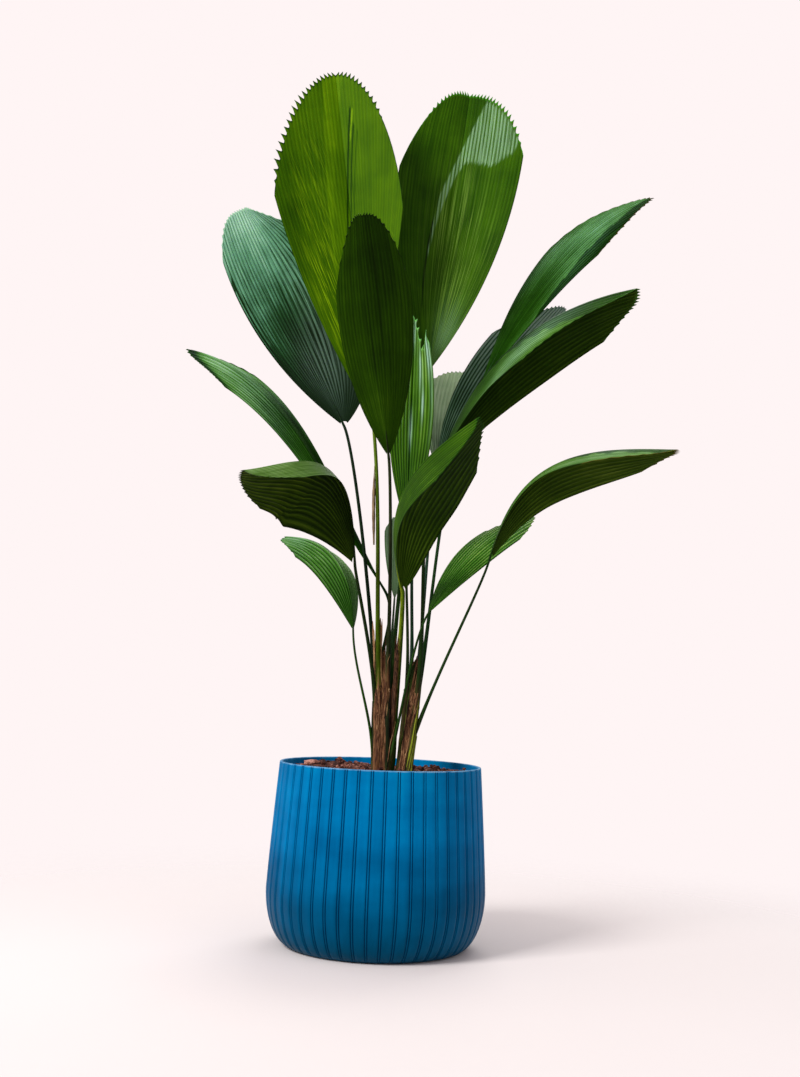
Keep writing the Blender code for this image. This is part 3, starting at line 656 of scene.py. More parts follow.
fronds = {
    "frond_upper_left": dict(
        hub=(-0.03, -0.01, 0.72), tip=(-0.105, 0.03, 1.23), half=(0.107, 0.079),
        belly=(0.45, 0.12), rounding=(0.33, 0.42), crown=(1.9, 1.8), fold=(12, 20), pleats=44,
        stem="stem_left", side=-132, foot=0.35, petiole=0.0065, depth=0.045, toothLean=0.6,
        slot="leaf_bright", rows=84, teeth=(0.0115, 0.006), toothTip=(4, 44, 8),
        smoothFrom=(1.0, 0.62),
        upper=((12, 40, 0), (46, 82, 0), (76, 114, 0), (124, 160, 10)),
        under=((16, 40, 0), (44, 76, 0), (78, 112, 8), (120, 150, 40)),
        stalk=((36, 54, 2), (76, 100, 16), (122, 148, 60)),
        streak=0.35, patchy=0.3, stripe=0.08, lines=0.08, shine=0.07, dryness=1.0, wornTurn=24,
        sheath=(0.345, 0.42, 0.026, 1.55), sheathSpan=(2.35, 7.05), sheathTone=1.2,
        panels=(((0.43, 1.1), (-0.388, -0.12), (-0.383, 0.17), 0.26, 0.0),
                ((0.0, 1.1), (-1.2, -1.2), (-0.56, -0.12), -0.16, 0.0),
                ((0.3, 0.9), (-0.222, 0.136), (-0.204, 0.156), -1.3, 0.0),
                ((0.3, 0.86), (-0.16, 0.168), (-0.144, 0.187), -1.0, 0.0),
                ((0.3, 0.84), (-0.103, 0.216), (-0.091, 0.23), -0.6, 0.0),
                ((0.8, 0.9), (0.104, 0.164), (0.122, 0.182), 0.9, 0.0)),
        tones=((-0.85, 0.8, 0.15, 0.25, -0.3), (0.85, 0.35, 0.2, 0.25, -0.35), (0.0, 0.05, 1.0, 0.2, -0.4)),
        worn=((-0.62, 0.42, 0.28, 0.2, 1.0), (0.86, 0.55, 0.06, 0.16, 0.9), (-0.5, 0.75, 0.3, 0.16, 0.35)),
    ),
    "frond_upper_right": dict(
        hub=(0.045, 0.035, 0.795), tip=(0.095, 0.12, 1.245), half=(0.09, 0.0955),
        belly=(1.0, 0.95), rounding=(0.3, 0.2), crown=(3.0, 2.8), fold=(15, 15), pleats=36,
        stem="stem_left", side=35, foot=0.33, petiole=0.006, depth=0.045,
        slot="leaf_green", rows=80, teeth=(0.006, 0.0085), toothTip=(60, 140, 24),
        upper=((8, 32, 0), (34, 70, 0), (62, 104, 4), (122, 162, 60)),
        under=((12, 34, 0), (34, 64, 4), (62, 96, 14), (100, 130, 44)),
        stalk=((16, 36, 12), (34, 62, 26), (64, 98, 46)),
        streak=0.5, patchy=0.4, stripe=0.1, lines=0.06, shine=0.1, sheenColour=(140, 180, 140),
        smoothFrom=(0.75, 1.0), sheath=(0.322, 0.352, 0.008, 1.35),
        panels=(((0.0, 0.15, 0.4, 0.62, 0.95, 1.1), (-1.2,) * 6,
                 (-0.6, -0.6, -0.38, -0.25, 0.25, 0.4), -0.2, 0.0),
                ((0.4, 0.5, 0.62, 0.7, 0.745, 0.76, 0.8, 0.9, 0.985),
                 (-0.38, -0.32, -0.25, -0.13, -0.06, -0.04, 0.02, 0.17, 0.31),
                 (-0.36, -0.27, -0.13, -0.02, 0.1, 0.5, 0.62, 0.82, 0.9), 0.1, 0.8),
                ((0.22, 0.52), (-0.52, -0.335), (-0.48, -0.3), -0.9, 0.0)),
        tones=((0.9, 0.6, 0.12, 0.4, -0.3), (0.3, 0.6, 0.25, 0.14, -0.2), (0.0, 0.05, 1.0, 0.2, -0.3)),
        wax=((0.55, 0.14, 0.45, 0.1, 0.5),),
        worn=((-0.95, 0.78, 0.06, 0.06, 0.6), (0.3, 0.34, 0.6, 0.26, 0.7), (0.0, 0.55, 0.3, 0.2, 0.5)),
    ),
    "frond_young": dict(
        hub=(0.023, 0.0, 0.568), tip=(0.024, 0.0, 0.866), half=0.023,
        belly=3.5, rounding=0.12, crown=2.0, fold=20, pleats=14,
        stem="stem_right", side=-165, foot=0.345, petiole=0.0045, depth=0.15,
        slot="leaf_bright", rows=60, teeth=(0.011, 0.007), toothTip=(110, 190, 90),
        upper=((8, 40, 0), (36, 80, 0), (72, 122, 0), (150, 196, 80)),
        under=((14, 40, 0), (40, 80, 4), (76, 122, 20), (110, 150, 50)),
        stalk=((10, 22, 6), (24, 44, 10), (48, 72, 20)),
        gloss=0.28, shine=0.25, sheen=(0.7, 1.0, 0.6, 1.0), stripe=0.3, lines=0.35,
        tones=((0.0, 0.5, 0.05, 0.6, -0.6), (0.5, 0.5, 0.15, 0.5, 0.3), (0.0, 0.1, 1.0, 0.2, -0.4)),
        wax=((0.8, 0.9, 0.12, 0.1, 1.4), (0.38, 0.76, 0.08, 0.08, 1.4), (0.0, 0.93, 0.07, 0.07, 1.2),
             (0.5, 0.6, 0.06, 0.07, 1.4), (0.0, 0.46, 0.06, 0.07, 1.4), (0.88, 0.7, 0.06, 0.2, 0.5)),
        fingers=((-1.0, -0.3, 0.0, 0.2, 0.45, 0.6, 0.82, 1.0),
                 (0.0, -0.02, 0.0, -0.05, -0.13, -0.11, 0.01, -0.035)),
    ),
    "frond_front": dict(
        hub=(-0.005, -0.05, 0.658), tip=(-0.048, -0.24, 0.93), half=(0.044, 0.053),
        belly=(1.5, 1.15), rounding=0.28, crown=3.5, fold=-10, pleats=22, ease=0.12,
        stem="stem_left", side=-62, foot=0.365, petiole=0.0055, depth=0.06,
        slot="leaf_dark", rows=70, teeth=0.0032, toothTip=(14, 34, 2),
        upper=((10, 22, 0), (24, 50, 0), (44, 80, 0), (84, 120, 20)),
        under=((16, 40, 0), (50, 90, 0), (84, 126, 6), (110, 150, 30)),
        stalk=((16, 18, 10), (38, 44, 26), (72, 80, 50)),
        stripe=0.12, lines=0.14, dryness=0.9,
        tones=((0.15, 0.85, 0.4, 0.25, -0.5), (0.0, 0.2, 0.6, 0.2, 0.35), (-0.85, 0.6, 0.15, 0.4, 0.1),
               (-0.12, 0.45, 0.03, 0.2, -0.5), (0.2, 0.5, 0.03, 0.2, -0.4)),
    ),
    "frond_left_blue": dict(
        hub=(-0.07, 0.02, 0.71), tip=(-0.245, 0.16, 1.068), half=(0.063, 0.066),
        belly=(1.5, 3.8), rounding=0.18, crown=4.0, fold=5, pleats=26, ease=0.1,
        stem="stem_left", side=168, foot=0.33, petiole=0.0055, depth=0.08,
        slot="leaf_blue", rows=70, teeth=0.003, toothTip=(150, 190, 160),
        upper=((8, 24, 4), (24, 60, 26), (88, 142, 110), (150, 192, 164)),
        under=((8, 34, 6), (24, 60, 24), (54, 94, 46), (90, 130, 80)),
        stalk=((8, 16, 8), (18, 32, 18), (38, 58, 36)),
        gloss=0.6, shine=0.05, sheen=(0.6, 1.0, 0.75, 1.0), lines=0.7, streak=0.9, stripe=0.22,
        patchy=0.3,
        panels=(((0.0, 0.7, 0.84), (0.2, 0.5, 1.0), (1.2,) * 3, -0.5, 0.0),
                ((0.1, 0.86), (-1.2, -1.2), (-0.86, -0.93), -0.7, 0.0),
                ((0.1, 0.8), (-0.95, -0.975), (-0.925, -0.95), 0.9, 0.0),
                ((0.2, 0.72), (-0.8, -0.86), (-0.775, -0.84), -0.7, 0.0)),
        tones=((0.75, 0.45, 0.3, 0.5, -0.4), (0.0, 0.02, 1.4, 0.42, -1.8), (-0.95, 0.5, 0.05, 0.6, -0.3),
               (-0.2, 0.95, 0.8, 0.12, 0.5), (-0.2, 0.8, 0.6, 0.2, 0.25)),
        wax=((-0.1, 0.97, 0.9, 0.07, 0.5), (0.1, 0.24, 0.6, 0.16, 0.16), (0.3, 0.5, 0.2, 0.25, 0.15)),
    ),
    "frond_left_long": dict(
        hub=(-0.004, 0.05, 0.482), tip=(-0.316, 0.14, 0.839), half=(0.046, 0.047),
        belly=(-0.2, -0.1), rounding=(0.22, 0.2), crown=(1.3, 2.0), fold=-12, pleats=17,
        roll=-55, arch=0.052, skew=0.6,
        stem="stem_left", side=125, foot=0.355, petiole=0.0055, depth=0.08,
        slot="leaf_green", rows=74, teeth=0.003, toothTip=(30, 70, 20),
        upper=((4, 24, 0), (24, 62, 4), (70, 122, 44), (150, 192, 142)),
        under=((10, 34, 0), (24, 60, 10), (50, 90, 20), (80, 120, 50)),
        stalk=((8, 20, 8), (18, 38, 16), (34, 60, 30)),
        lines=0.25, stripe=0.25, margin=0.2, shine=0.02, gloss=0.8,
        sheath=(0.345, 0.372, 0.008, 1.35),
        tones=((0.0, 0.2, 1.2, 0.5, -0.8), (0.0, 0.88, 1.2, 0.14, 0.6), (0.6, 0.6, 0.2, 0.3, -0.4),
               (0.0, 1.01, 1.2, 0.035, -2.5)),
        wax=((0.0, 0.8, 1.0, 0.15, 0.3),),
    ),
    "frond_left_droop": dict(
        hub=(-0.044, -0.07, 0.508), tip=(-0.18, -0.24, 0.605), half=(0.034, 0.078),
        belly=(1.0, 2.6), rounding=(0.25, 0.205), crown=(2.5, 2.7), fold=-42, pleats=26, ripple=0.4,
        roll=-122, arch=0.086, skew=-0.5, ease=0.1,
        stem="stem_left", side=-152, foot=0.315, petiole=0.0055, depth=0.15,
        slot="leaf_dark", rows=66, teeth=0.0035, toothTip=(30, 50, 10),
        upper=((14, 40, 0), (44, 80, 8), (90, 128, 52), (144, 180, 112)),
        under=((10, 20, 0), (28, 46, 0), (60, 84, 8), (110, 130, 40)),
        stalk=((8, 18, 6), (22, 38, 14), (42, 62, 26)),
        lines=0.35, stripe=0.5,
        tones=((0.0, 0.1, 1.2, 0.3, -0.4), (0.0, 0.95, 1.2, 0.25, 0.3)),
    ),
    "frond_left_low": dict(
        hub=(-0.045, 0.0, 0.423), tip=(-0.148, 0.08, 0.556), half=0.054,
        belly=0.8, rounding=0.28, crown=2.5, fold=-20, pleats=16,
        roll=-60, arch=0.044,
        stem="stem_left", side=-172, foot=0.25, petiole=0.004, depth=0.14,
        slot="leaf_green", rows=56, teeth=0.003, toothTip=(40, 90, 40),
        upper=((10, 44, 0), (34, 84, 8), (72, 126, 44), (140, 178, 116)),
        under=((10, 34, 0), (24, 60, 10), (60, 100, 26), (90, 130, 50)),
        stalk=((10, 28, 4), (26, 56, 12), (50, 90, 26)),
        lines=0.7, stripe=0.6,
        tones=((0.5, 0.5, 0.2, 0.5, 0.2), (0.0, 0.1, 1.2, 0.2, -0.4)),
        wax=((0.2, 0.9, 0.8, 0.12, 0.35),),
    ),
    "frond_centre_droop": dict(
        hub=(0.021, -0.05, 0.476), tip=(0.105, -0.22, 0.684), half=(0.066, 0.056),
        belly=(2.2, 1.2), rounding=0.22, crown=2.5, fold=-46, pleats=24,
        roll=116, arch=0.057, skew=-0.3, ease=0.03,
        stem="stem_left", side=5, foot=0.25, petiole=0.008, depth=0.09,
        slot="leaf_dark", rows=66, teeth=0.0045, toothTip=(30, 70, 10),
        upper=((8, 30, 0), (26, 58, 0), (54, 94, 2), (116, 160, 50)),
        under=((8, 20, 0), (24, 46, 0), (50, 78, 2), (90, 120, 30)),
        stalk=((22, 44, 0), (84, 108, 10), (150, 168, 40)),
        lines=0.5, stripe=0.45, sideShade=0.5, dryness=0.9, dryReach=0.16, dryLeft=True, footShade=0.9,
        sheath=(0.25, 0.405, 0.022, 1.35), sheathSpan=(1.9, 4.4), sheathTone=-0.1,
        tones=((0.0, 0.1, 1.2, 0.25, 0.3), (0.0, 0.7, 1.2, 0.3, -0.2)),
    ),
    "frond_right_high": dict(
        hub=(0.124, 0.07, 0.788), tip=(0.383, 0.17, 1.114), half=(0.055, 0.05),
        belly=0.4, rounding=(0.42, 0.4), crown=(2.0, 1.4), fold=-8, pleats=22,
        roll=48, arch=0.045, skew=0.2, smoothFrom=(0.4, 1.0), gloss=0.75, shine=0.04,
        stem="stem_right", side=20, foot=0.35, petiole=0.005, depth=0.07,
        slot="leaf_blue", rows=66, teeth=0.0055, toothTip=(70, 50, 8),
        upper=((8, 36, 0), (34, 76, 10), (78, 130, 66), (144, 192, 162)),
        under=((14, 24, 0), (38, 56, 8), (70, 90, 22), (110, 130, 50)),
        stalk=((12, 34, 12), (30, 60, 28), (56, 90, 46)),
        lines=0.35, stripe=0.2,
        tones=((0.0, 0.1, 1.2, 0.5, -0.9), (-0.2, 0.7, 1.0, 0.22, 0.35)),
        wax=((-0.1, 0.72, 0.8, 0.18, 0.35),), sheenColour=(120, 180, 140),
        panels=(((0.45, 0.6, 0.61, 0.72, 0.73, 0.84, 0.85, 0.93, 1.1),
                 (0.86, 0.66, 0.74, 0.5, 0.6, 0.34, 0.42, 0.1, -0.3), (1.2,) * 9, -1.0, 0.0),),
    ),
    "frond_right_middle": dict(
        hub=(0.063, -0.02, 0.652), tip=(0.311, -0.15, 0.876), half=(0.06, 0.054),
        belly=(2.1, 0.4), rounding=(0.16, 0.45), crown=(2.5, 1.3), fold=(-45, -58), pleats=24,
        roll=117, arch=0.065,
        stem="stem_right", side=-48, foot=0.34, petiole=0.0055, depth=0.09,
        slot="leaf_dark", rows=70, teeth=0.0042, toothTip=(60, 100, 40),
        upper=((8, 34, 0), (34, 76, 0), (76, 124, 34), (150, 190, 124)),
        under=((12, 26, 0), (30, 54, 0), (56, 84, 8), (88, 116, 30)),
        stalk=((10, 24, 8), (26, 46, 18), (48, 72, 32)),
        lines=0.3, stripe=0.3,
        tones=((0.0, 0.1, 1.2, 0.5, -0.6), (0.6, 0.7, 0.6, 0.2, 0.3)),
        wax=((0.6, 0.7, 0.6, 0.15, 0.4),),
        panels=(((0.3, 0.45, 0.46, 0.58, 0.59, 0.7, 0.71, 0.82, 0.83, 1.1), (0.0,) * 10,
                 (0.02, 0.16, 0.08, 0.27, 0.18, 0.36, 0.26, 0.46, 0.36, 0.55), -0.75, 0.0),),
    ),
    "frond_right_slate": dict(
        hub=(0.064, 0.07, 0.66), tip=(0.258, 0.2, 0.942), half=(0.064, 0.024),
        belly=1.2, rounding=0.3, crown=2.0, fold=0, pleats=26,
        stem="stem_right", side=115, foot=0.345, petiole=0.005, depth=0.08,
        slot="leaf_blue", rows=60, teeth=0.003, toothTip=(110, 140, 124),
        upper=((6, 28, 12), (40, 72, 44), (96, 130, 108), (156, 182, 166)),
        under=((20, 40, 20), (40, 66, 40), (74, 104, 66), (110, 140, 100)),
        stalk=((14, 34, 24), (34, 62, 46), (60, 94, 74)),
        lines=0.7, stripe=0.7,
        tones=((0.0, 0.15, 1.2, 0.35, -0.6), (0.0, 0.92, 1.2, 0.16, 1.0)),
    ),
    "frond_back_right": dict(
        hub=(0.067, 0.1, 0.662), tip=(0.112, 0.32, 0.86), half=(0.055, 0.05),
        belly=0.8, rounding=0.2, crown=2.5, fold=0, pleats=18,
        stem="stem_right", side=66, foot=0.335, petiole=0.005, depth=0.08,
        slot="leaf_pale", rows=50, teeth=0.003, toothTip=(140, 165, 130),
        upper=((60, 90, 50), (144, 176, 128), (180, 204, 160), (206, 222, 190)),
        under=((50, 80, 44), (70, 100, 60), (106, 136, 92), (140, 166, 124)),
        stalk=((16, 38, 26), (36, 66, 50), (64, 98, 80)),
        lines=0.3,
        tones=((0.0, 0.1, 1.2, 0.42, -1.2),),
    ),
    "frond_right_low": dict(
        hub=(0.138, -0.02, 0.525), tip=(0.368, -0.14, 0.667), half=(0.031, 0.032),
        belly=(4.2, 1.2), rounding=(0.15, 0.35), crown=(2.8, 2.3), fold=-44, pleats=18,
        roll=118, arch=0.076, skew=-0.35, ease=0.15, lean=0.25,
        stem="stem_right", side=-8, foot=0.285, petiole=0.0045, depth=0.14,
        slot="leaf_dark", rows=64, teeth=0.005, toothTip=(104, 92, 30),
        upper=((8, 34, 0), (34, 74, 0), (76, 122, 36), (146, 186, 120)),
        under=((16, 30, 2), (38, 60, 4), (72, 98, 18), (116, 136, 48)),
        stalk=((12, 32, 10), (28, 56, 22), (54, 88, 38)),
        lines=0.3, stripe=0.3,
        tones=((0.0, 0.1, 1.2, 0.25, -0.3), (0.0, 0.8, 1.2, 0.25, 0.3)),
        wax=((0.0, 0.8, 1.0, 0.15, 0.2),),
        panels=(((0.5, 0.64, 0.65, 0.76, 0.77, 0.88, 0.89, 1.1), (0.0,) * 8,
                 (0.02, 0.25, 0.1, 0.35, 0.18, 0.4, 0.3, 0.6), -0.9, 0.0),),
    ),
    "frond_right_low_back": dict(
        hub=(0.057, -0.03, 0.449), tip=(0.208, 0.11, 0.603), half=(0.041, 0.034),
        belly=1.0, rounding=0.28, crown=1.8, fold=-10, pleats=13,
        roll=50, arch=0.022, lean=0.3, ease=0.2,
        stem="stem_left", side=-38, foot=0.245, petiole=0.004, depth=0.14,
        slot="leaf_green", rows=54, teeth=0.004, toothTip=(90, 130, 40),
        upper=((12, 48, 0), (34, 84, 6), (72, 126, 34), (140, 172, 84)),
        under=((10, 34, 0), (24, 60, 10), (60, 100, 26), (90, 130, 50)),
        stalk=((12, 30, 6), (28, 56, 16), (50, 84, 30)),
        lines=0.6, stripe=0.6,
        tones=((0.0, 0.15, 1.2, 0.25, -0.4),),
    ),
    "frond_back_small": dict(
        hub=(0.01, 0.064, 0.471), tip=(0.013, 0.27, 0.614), half=0.022,
        belly=0.8, rounding=0.2, crown=2.5, fold=0, pleats=9,
        stem="stem_left", side=66, foot=0.29, petiole=0.004, depth=0.1,
        slot="leaf_pale", rows=40, teeth=0.002, toothTip=(110, 140, 110),
        upper=((20, 44, 14), (38, 68, 30), (68, 100, 56), (110, 140, 98)),
        under=((40, 70, 34), (60, 90, 50), (96, 126, 86), (130, 160, 120)),
        stalk=((12, 28, 12), (28, 50, 26), (48, 74, 44)),
        lines=0.4,
    ),
}
fronds = {name: {**plainFrond, **leaf} for name, leaf in fronds.items()}

# Blades and stalks: what all leaves share

blade = {
    "columnsPerPleat": 6,
    "start": 0.02,
    "widest": 0.93,
    "toothPeak": 0.34,
    "toothHollow": 2.2,
    "toothFoot": 0.97,
    "fullPleat": 0.004,
    "thickness": 0.0006,
    "ripple": 0.0012,
    "rimReach": 0.004,
    "panelFade": 0.012,
}
stalk = {
    "standOut": 0.3,
    "footWidth": 1.35,
    "sink": 0.06,
    "taper": 0.7,
    "lowRise": 0.35,
    "sides": 18,
    "rings": 44,
    "lowRings": 10,
    "sheathGap": 0.0005,
    "sheathRows": 16,
    "sheathSides": 34,
    "sheathThickness": 0.0003,
}


# A field's value for the left half, where s is below 0, and for the right half elsewhere
def bySide(leaf, field, s):
    return np.where(s < 0, *np.broadcast_to(leaf[field], 2))


# The blade's length, and its directions along, across and out of the upper side
def bladeFrame(leaf):
    hub, tip = np.array(leaf["hub"]), np.array(leaf["tip"])
    length = np.linalg.norm(tip - hub)
    along = (tip - hub) / length
    facing = unit(towardViewer - along * (along @ towardViewer))
    level = np.cross(along, facing)
    cos, sin = math.cos(math.radians(leaf["roll"])), math.sin(math.radians(leaf["roll"]))
    return length, along, cos * level + sin * facing, cos * facing - sin * level


# Share of a rib's length against the middle rib's: 1 - rounding |s|^crown
def ribShare(leaf, s):
    return 1.0 - bySide(leaf, "rounding", s) * np.abs(s) ** bySide(leaf, "crown", s)


# Height of the pleats, from -1 in a valley to 1 on a ridge: a triangle wave rounded by a sine
def pleatWave(leaf, s):
    place = (s + 1.0) / 2.0 * leaf["pleats"] % 1.0
    wave = 1.0 - 2.0 * np.abs(2.0 * place - 1.0)
    return 0.55 * wave + 0.45 * np.sin(0.5 * math.pi * wave)


# Points of the blade. s runs across from -1 to 1 and t along each rib from 0 to 1. A rib lies s half q (1 +
# belly (1 - q)) from the middle rib, where q is its reach as a share of the margin's. Each half is folded,
# and the middle rib is bent to arch 4u(1 - u)(1 + skew (2u - 1)) at the share u of the length.
def bladePoints(leaf, s, t, pleated=True):
    s, t = np.broadcast_arrays(np.asarray(s, float), np.asarray(t, float))
    length, along, side, normal = bladeFrame(leaf)
    arch, skew = leaf["arch"], leaf["skew"]
    reach = t * ribShare(leaf, s)
    q = reach / (1.0 - bySide(leaf, "rounding", s))
    margin = bySide(leaf, "half", s) * q * (1.0 + bySide(leaf, "belly", s) * (1.0 - q))
    margin = np.minimum(margin, blade["widest"] * reach * length)
    across = s * margin
    u = np.sqrt(np.maximum(reach ** 2 - (across / length) ** 2, 0.0))
    fold = np.radians(bySide(leaf, "fold", s))
    lateral, lift = across * np.cos(fold), np.abs(across) * np.sin(fold)
    if pleated:
        spacing = 2.0 * margin / leaf["pleats"]
        depth = leaf["depth"] * spacing * np.minimum(1.0, spacing / blade["fullPleat"])
        ripple = rolling(s * 0.9, t * 0.7, len(leaf["slot"]) + leaf["pleats"], 0.8) * smoothStep(0.1, 0.7, t)
        lift = lift + depth * pleatWave(leaf, s) + blade["ripple"] * leaf["ripple"] * ripple
    lean = 1.0 + skew * (2.0 * u - 1.0)
    bend, slope = 4.0 * u * (1.0 - u) * lean, 4.0 * (1.0 - 2.0 * u) * lean + 8.0 * u * (1.0 - u) * skew
    middle = np.array(leaf["hub"]) + u[..., None] * length * along + bend[..., None] * arch * normal
    tangent = unit(length * along + slope[..., None] * arch * normal)
    acrossAxis = unit(side - tangent * np.sum(tangent * side, axis=-1, keepdims=True))
    return middle + lateral[..., None] * acrossAxis + lift[..., None] * np.cross(acrossAxis, tangent)


# Sum of soft spots, each a bell curve across and along
def spots(leaf, field, s, t):
    total = np.zeros(s.shape)
    for acrossPlace, alongPlace, acrossWidth, alongWidth, amount in leaf[field]:
        bell = np.exp(-((s - acrossPlace) / acrossWidth) ** 2 - ((t - alongPlace) / alongWidth) ** 2)
        total += amount * bell
    return total


# Sum of a leaf's panels, each 1 between its two lines and faded over a little more than a column of points
def panelSum(leaf, amount, s, t):
    total, fade = np.zeros(s.shape), blade["panelFade"]
    for panel in leaf["panels"]:
        left, right = np.interp(t, panel[0], panel[1]), np.interp(t, panel[0], panel[2])
        inside = smoothStep(left - fade, left + fade, s) * (1.0 - smoothStep(right - fade, right + fade, s))
        ends = smoothStep(panel[0][0] - 0.01, panel[0][0] + 0.02, t) * (t < panel[0][-1])
        total += panel[amount] * inside * ends
    return total


# Length of the teeth beyond the blade's end: per pleat a saw wave, raised to a power so that its sides are
# hollow, that leans to the nearer margin
def toothReach(leaf, s):
    pleat, place = np.divmod((s + 1.0) / 2.0 * leaf["pleats"], 1.0)
    place = np.where(s < 0, place, 1.0 - place)
    peak = blade["toothPeak"]
    saw = np.where(place < peak, place / peak, (1.0 - place) / (1.0 - peak)) ** blade["toothHollow"]
    least = np.min(leaf["teeth"])
    size = least + (bySide(leaf, "teeth", s) - least) * smoothStep(0.15, 0.55, np.abs(s))
    uneven = 0.8 + 0.4 * np.abs(np.sin(12.9898 * pleat + leaf["pleats"]))
    smoothFrom = bySide(leaf, "smoothFrom", s)
    return size * uneven * (saw - 0.3) * (1.0 - smoothStep(smoothFrom - 0.15, smoothFrom, np.abs(s)))


# Blade: a pleated middle surface of ribs that end in teeth leaning outwards, made into a thin shell
def bladePart(leaf):
    s = np.linspace(-1.0, 1.0, leaf["pleats"] * blade["columnsPerPleat"] + 1)[None, :]
    toothFoot = blade["toothFoot"]
    step = np.concatenate([np.linspace(0.0, toothFoot, leaf["rows"] - 3), [0.98, 0.99, 1.0]])[:, None]
    length, _, side, _ = bladeFrame(leaf)
    end = 1.0 + toothReach(leaf, s) / length + np.interp(s, *leaf["fingers"])
    t = blade["start"] + (end - blade["start"]) * step
    s, t = np.broadcast_arrays(s, t)
    high = np.clip((step - toothFoot) / (1.0 - toothFoot), 0.0, 1.0)
    outward = np.sign(s) * np.maximum(toothReach(leaf, s), 0.0) * high
    surface = bladePoints(leaf, s, t) + leaf["toothLean"] * outward[..., None] * side
    normal = unit(np.cross(np.gradient(surface, axis=1), np.gradient(surface, axis=0)))
    uv = np.stack([(s.ravel() + 1.0) / 2.0, t.ravel()], -1)
    values = {
        "ridge": 0.5 + 0.5 * pleatWave(leaf, s),
        "rim": np.exp(-(end - t) * length * ribShare(leaf, s) / blade["rimReach"]),
        "edge": smoothStep(1.0 - 2.0 / leaf["pleats"], 1.0, np.abs(s)),
        # tone holds painted shade and painted light from the tone spots and the panels, and the sheen spots
        # and panels give a painted sheen
        "tone": spots(leaf, "tones", s, t) + panelSum(leaf, 3, s, t),
        "wax": spots(leaf, "wax", s, t) + panelSum(leaf, 4, s, t),
        "worn": spots(leaf, "worn", s, t),
        "stalk": 0.0,
        "dry": 0.0,
        "under": np.repeat([0.0, 1.0], s.size),
    }
    return shellPart(surface, 0.5 * blade["thickness"] * normal, uv, values)


# Route of a stalk: down the stem's side, then the cubic curve (1-t)^3 a + 3(1-t)^2 t b + 3(1-t) t^2 c + t^3 d
# from the stem to the hub, and on into the blade
def stalkRoute(leaf):
    stem, hub = stems[leaf["stem"]], np.array(leaf["hub"])
    foot, top = np.array(stem["foot"]), np.array(stem["top"])
    turn = math.radians(leaf["side"])
    out = np.array([math.cos(turn), math.sin(turn), 0.0])
    standOut = stalk["standOut"] * leaf["petiole"]
    axis, radius = stemAt(stem, leaf["foot"])
    start = axis + out * (float(radius) + standOut)
    inside, further = (bladePoints(leaf, 0.0, share * stalk["sink"], pleated=False) for share in (1.0, 2.0))
    reach = np.linalg.norm(hub - start)
    handleLow = start + unit(unit(top - foot) + out * leaf["lean"]) * reach * stalk["lowRise"]
    handleHigh = hub - unit(inside - hub) * reach * leaf["ease"]
    t = np.linspace(0.0, 1.0, stalk["rings"])[:, None]
    curve = (1 - t) ** 3 * start + 3 * (1 - t) ** 2 * t * handleLow
    curve = curve + 3 * (1 - t) * t ** 2 * handleHigh + t ** 3 * hub
    height = np.linspace(foot[2] - 0.006, leaf["foot"], stalk["lowRings"])[:-1]
    axis, radius = stemAt(stem, height)
    low = axis + out * (radius + standOut * smoothStep(foot[2], leaf["foot"], height))[:, None]
    return np.concatenate([low, curve, [inside, further]]), len(low)


# A tube round a route: at each point a ring in the plane across it, oval and ribbed, with closed ends
def tubePart(route, radius, sides, oval=1.0, ribs=0.0, seed=0):
    angle, rows = roundAngles(sides), len(route)
    ring = routeRings(route, angle, oval)[1]
    size = radius[:, None] * (1.0 + ribs * np.sin(5 * angle + seed)[None, :])
    points = (route[:, None, :] + ring * size[..., None]).reshape(-1, 3)
    uv = gridPairs(angle / fullTurn, np.linspace(0.0, 1.0, rows))
    return {"points": np.concatenate([points, route[:1], route[-1:]]),
            "faces": tubeFaces(rows, sides, flip=True),
            "uv": np.concatenate([uv, [[0, 0], [0, 1]]])}


# Stalk: widest at its foot, where it is dry and fibrous, and thin where it runs into the blade
def stalkPart(leaf):
    route, lowCount = stalkRoute(leaf)
    share = np.clip((np.arange(len(route)) - lowCount) / stalk["rings"], 0.0, 1.0)
    radius = 0.5 * leaf["petiole"] * (1.0 + (stalk["taper"] - 1.0) * share)
    radius = radius * (1.0 + (stalk["footWidth"] - 1.0) * (1.0 - smoothStep(0.0, 0.25, share)))
    radius[-2:] *= (0.55, 0.15)
    part = tubePart(route, radius, stalk["sides"], ribs=0.05, seed=leaf["side"])
    heights, turn, foot = part["points"][:, 2], part["uv"][:, 0] * fullTurn, leaf["foot"]
    dryTop = foot + leaf["dryReach"] + 0.01 * np.sin(5 * turn + leaf["side"])
    drySide = smoothStep(-0.3, 0.3, -np.cos(turn)) if leaf["dryLeft"] else 1.0
    # Painted shade: the tone darkens the stalk towards its foot, and is lighter on one side and darker on the
    # other
    shade = 0.8 * leaf["footShade"] * (1.0 - smoothStep(foot, foot + 0.2, heights))
    part["values"] = dict.fromkeys(("rim", "edge", "wax", "worn", "under"), np.zeros(len(heights)))
    part["values"].update({
        "ridge": np.full(len(heights), 0.5),
        "tone": -shade - leaf["sideShade"] * np.cos(turn),
        "stalk": np.ones(len(heights)),
        "dry": (1.0 - smoothStep(dryTop - 0.03, dryTop + 0.01, heights)) * drySide,
    })
    return part
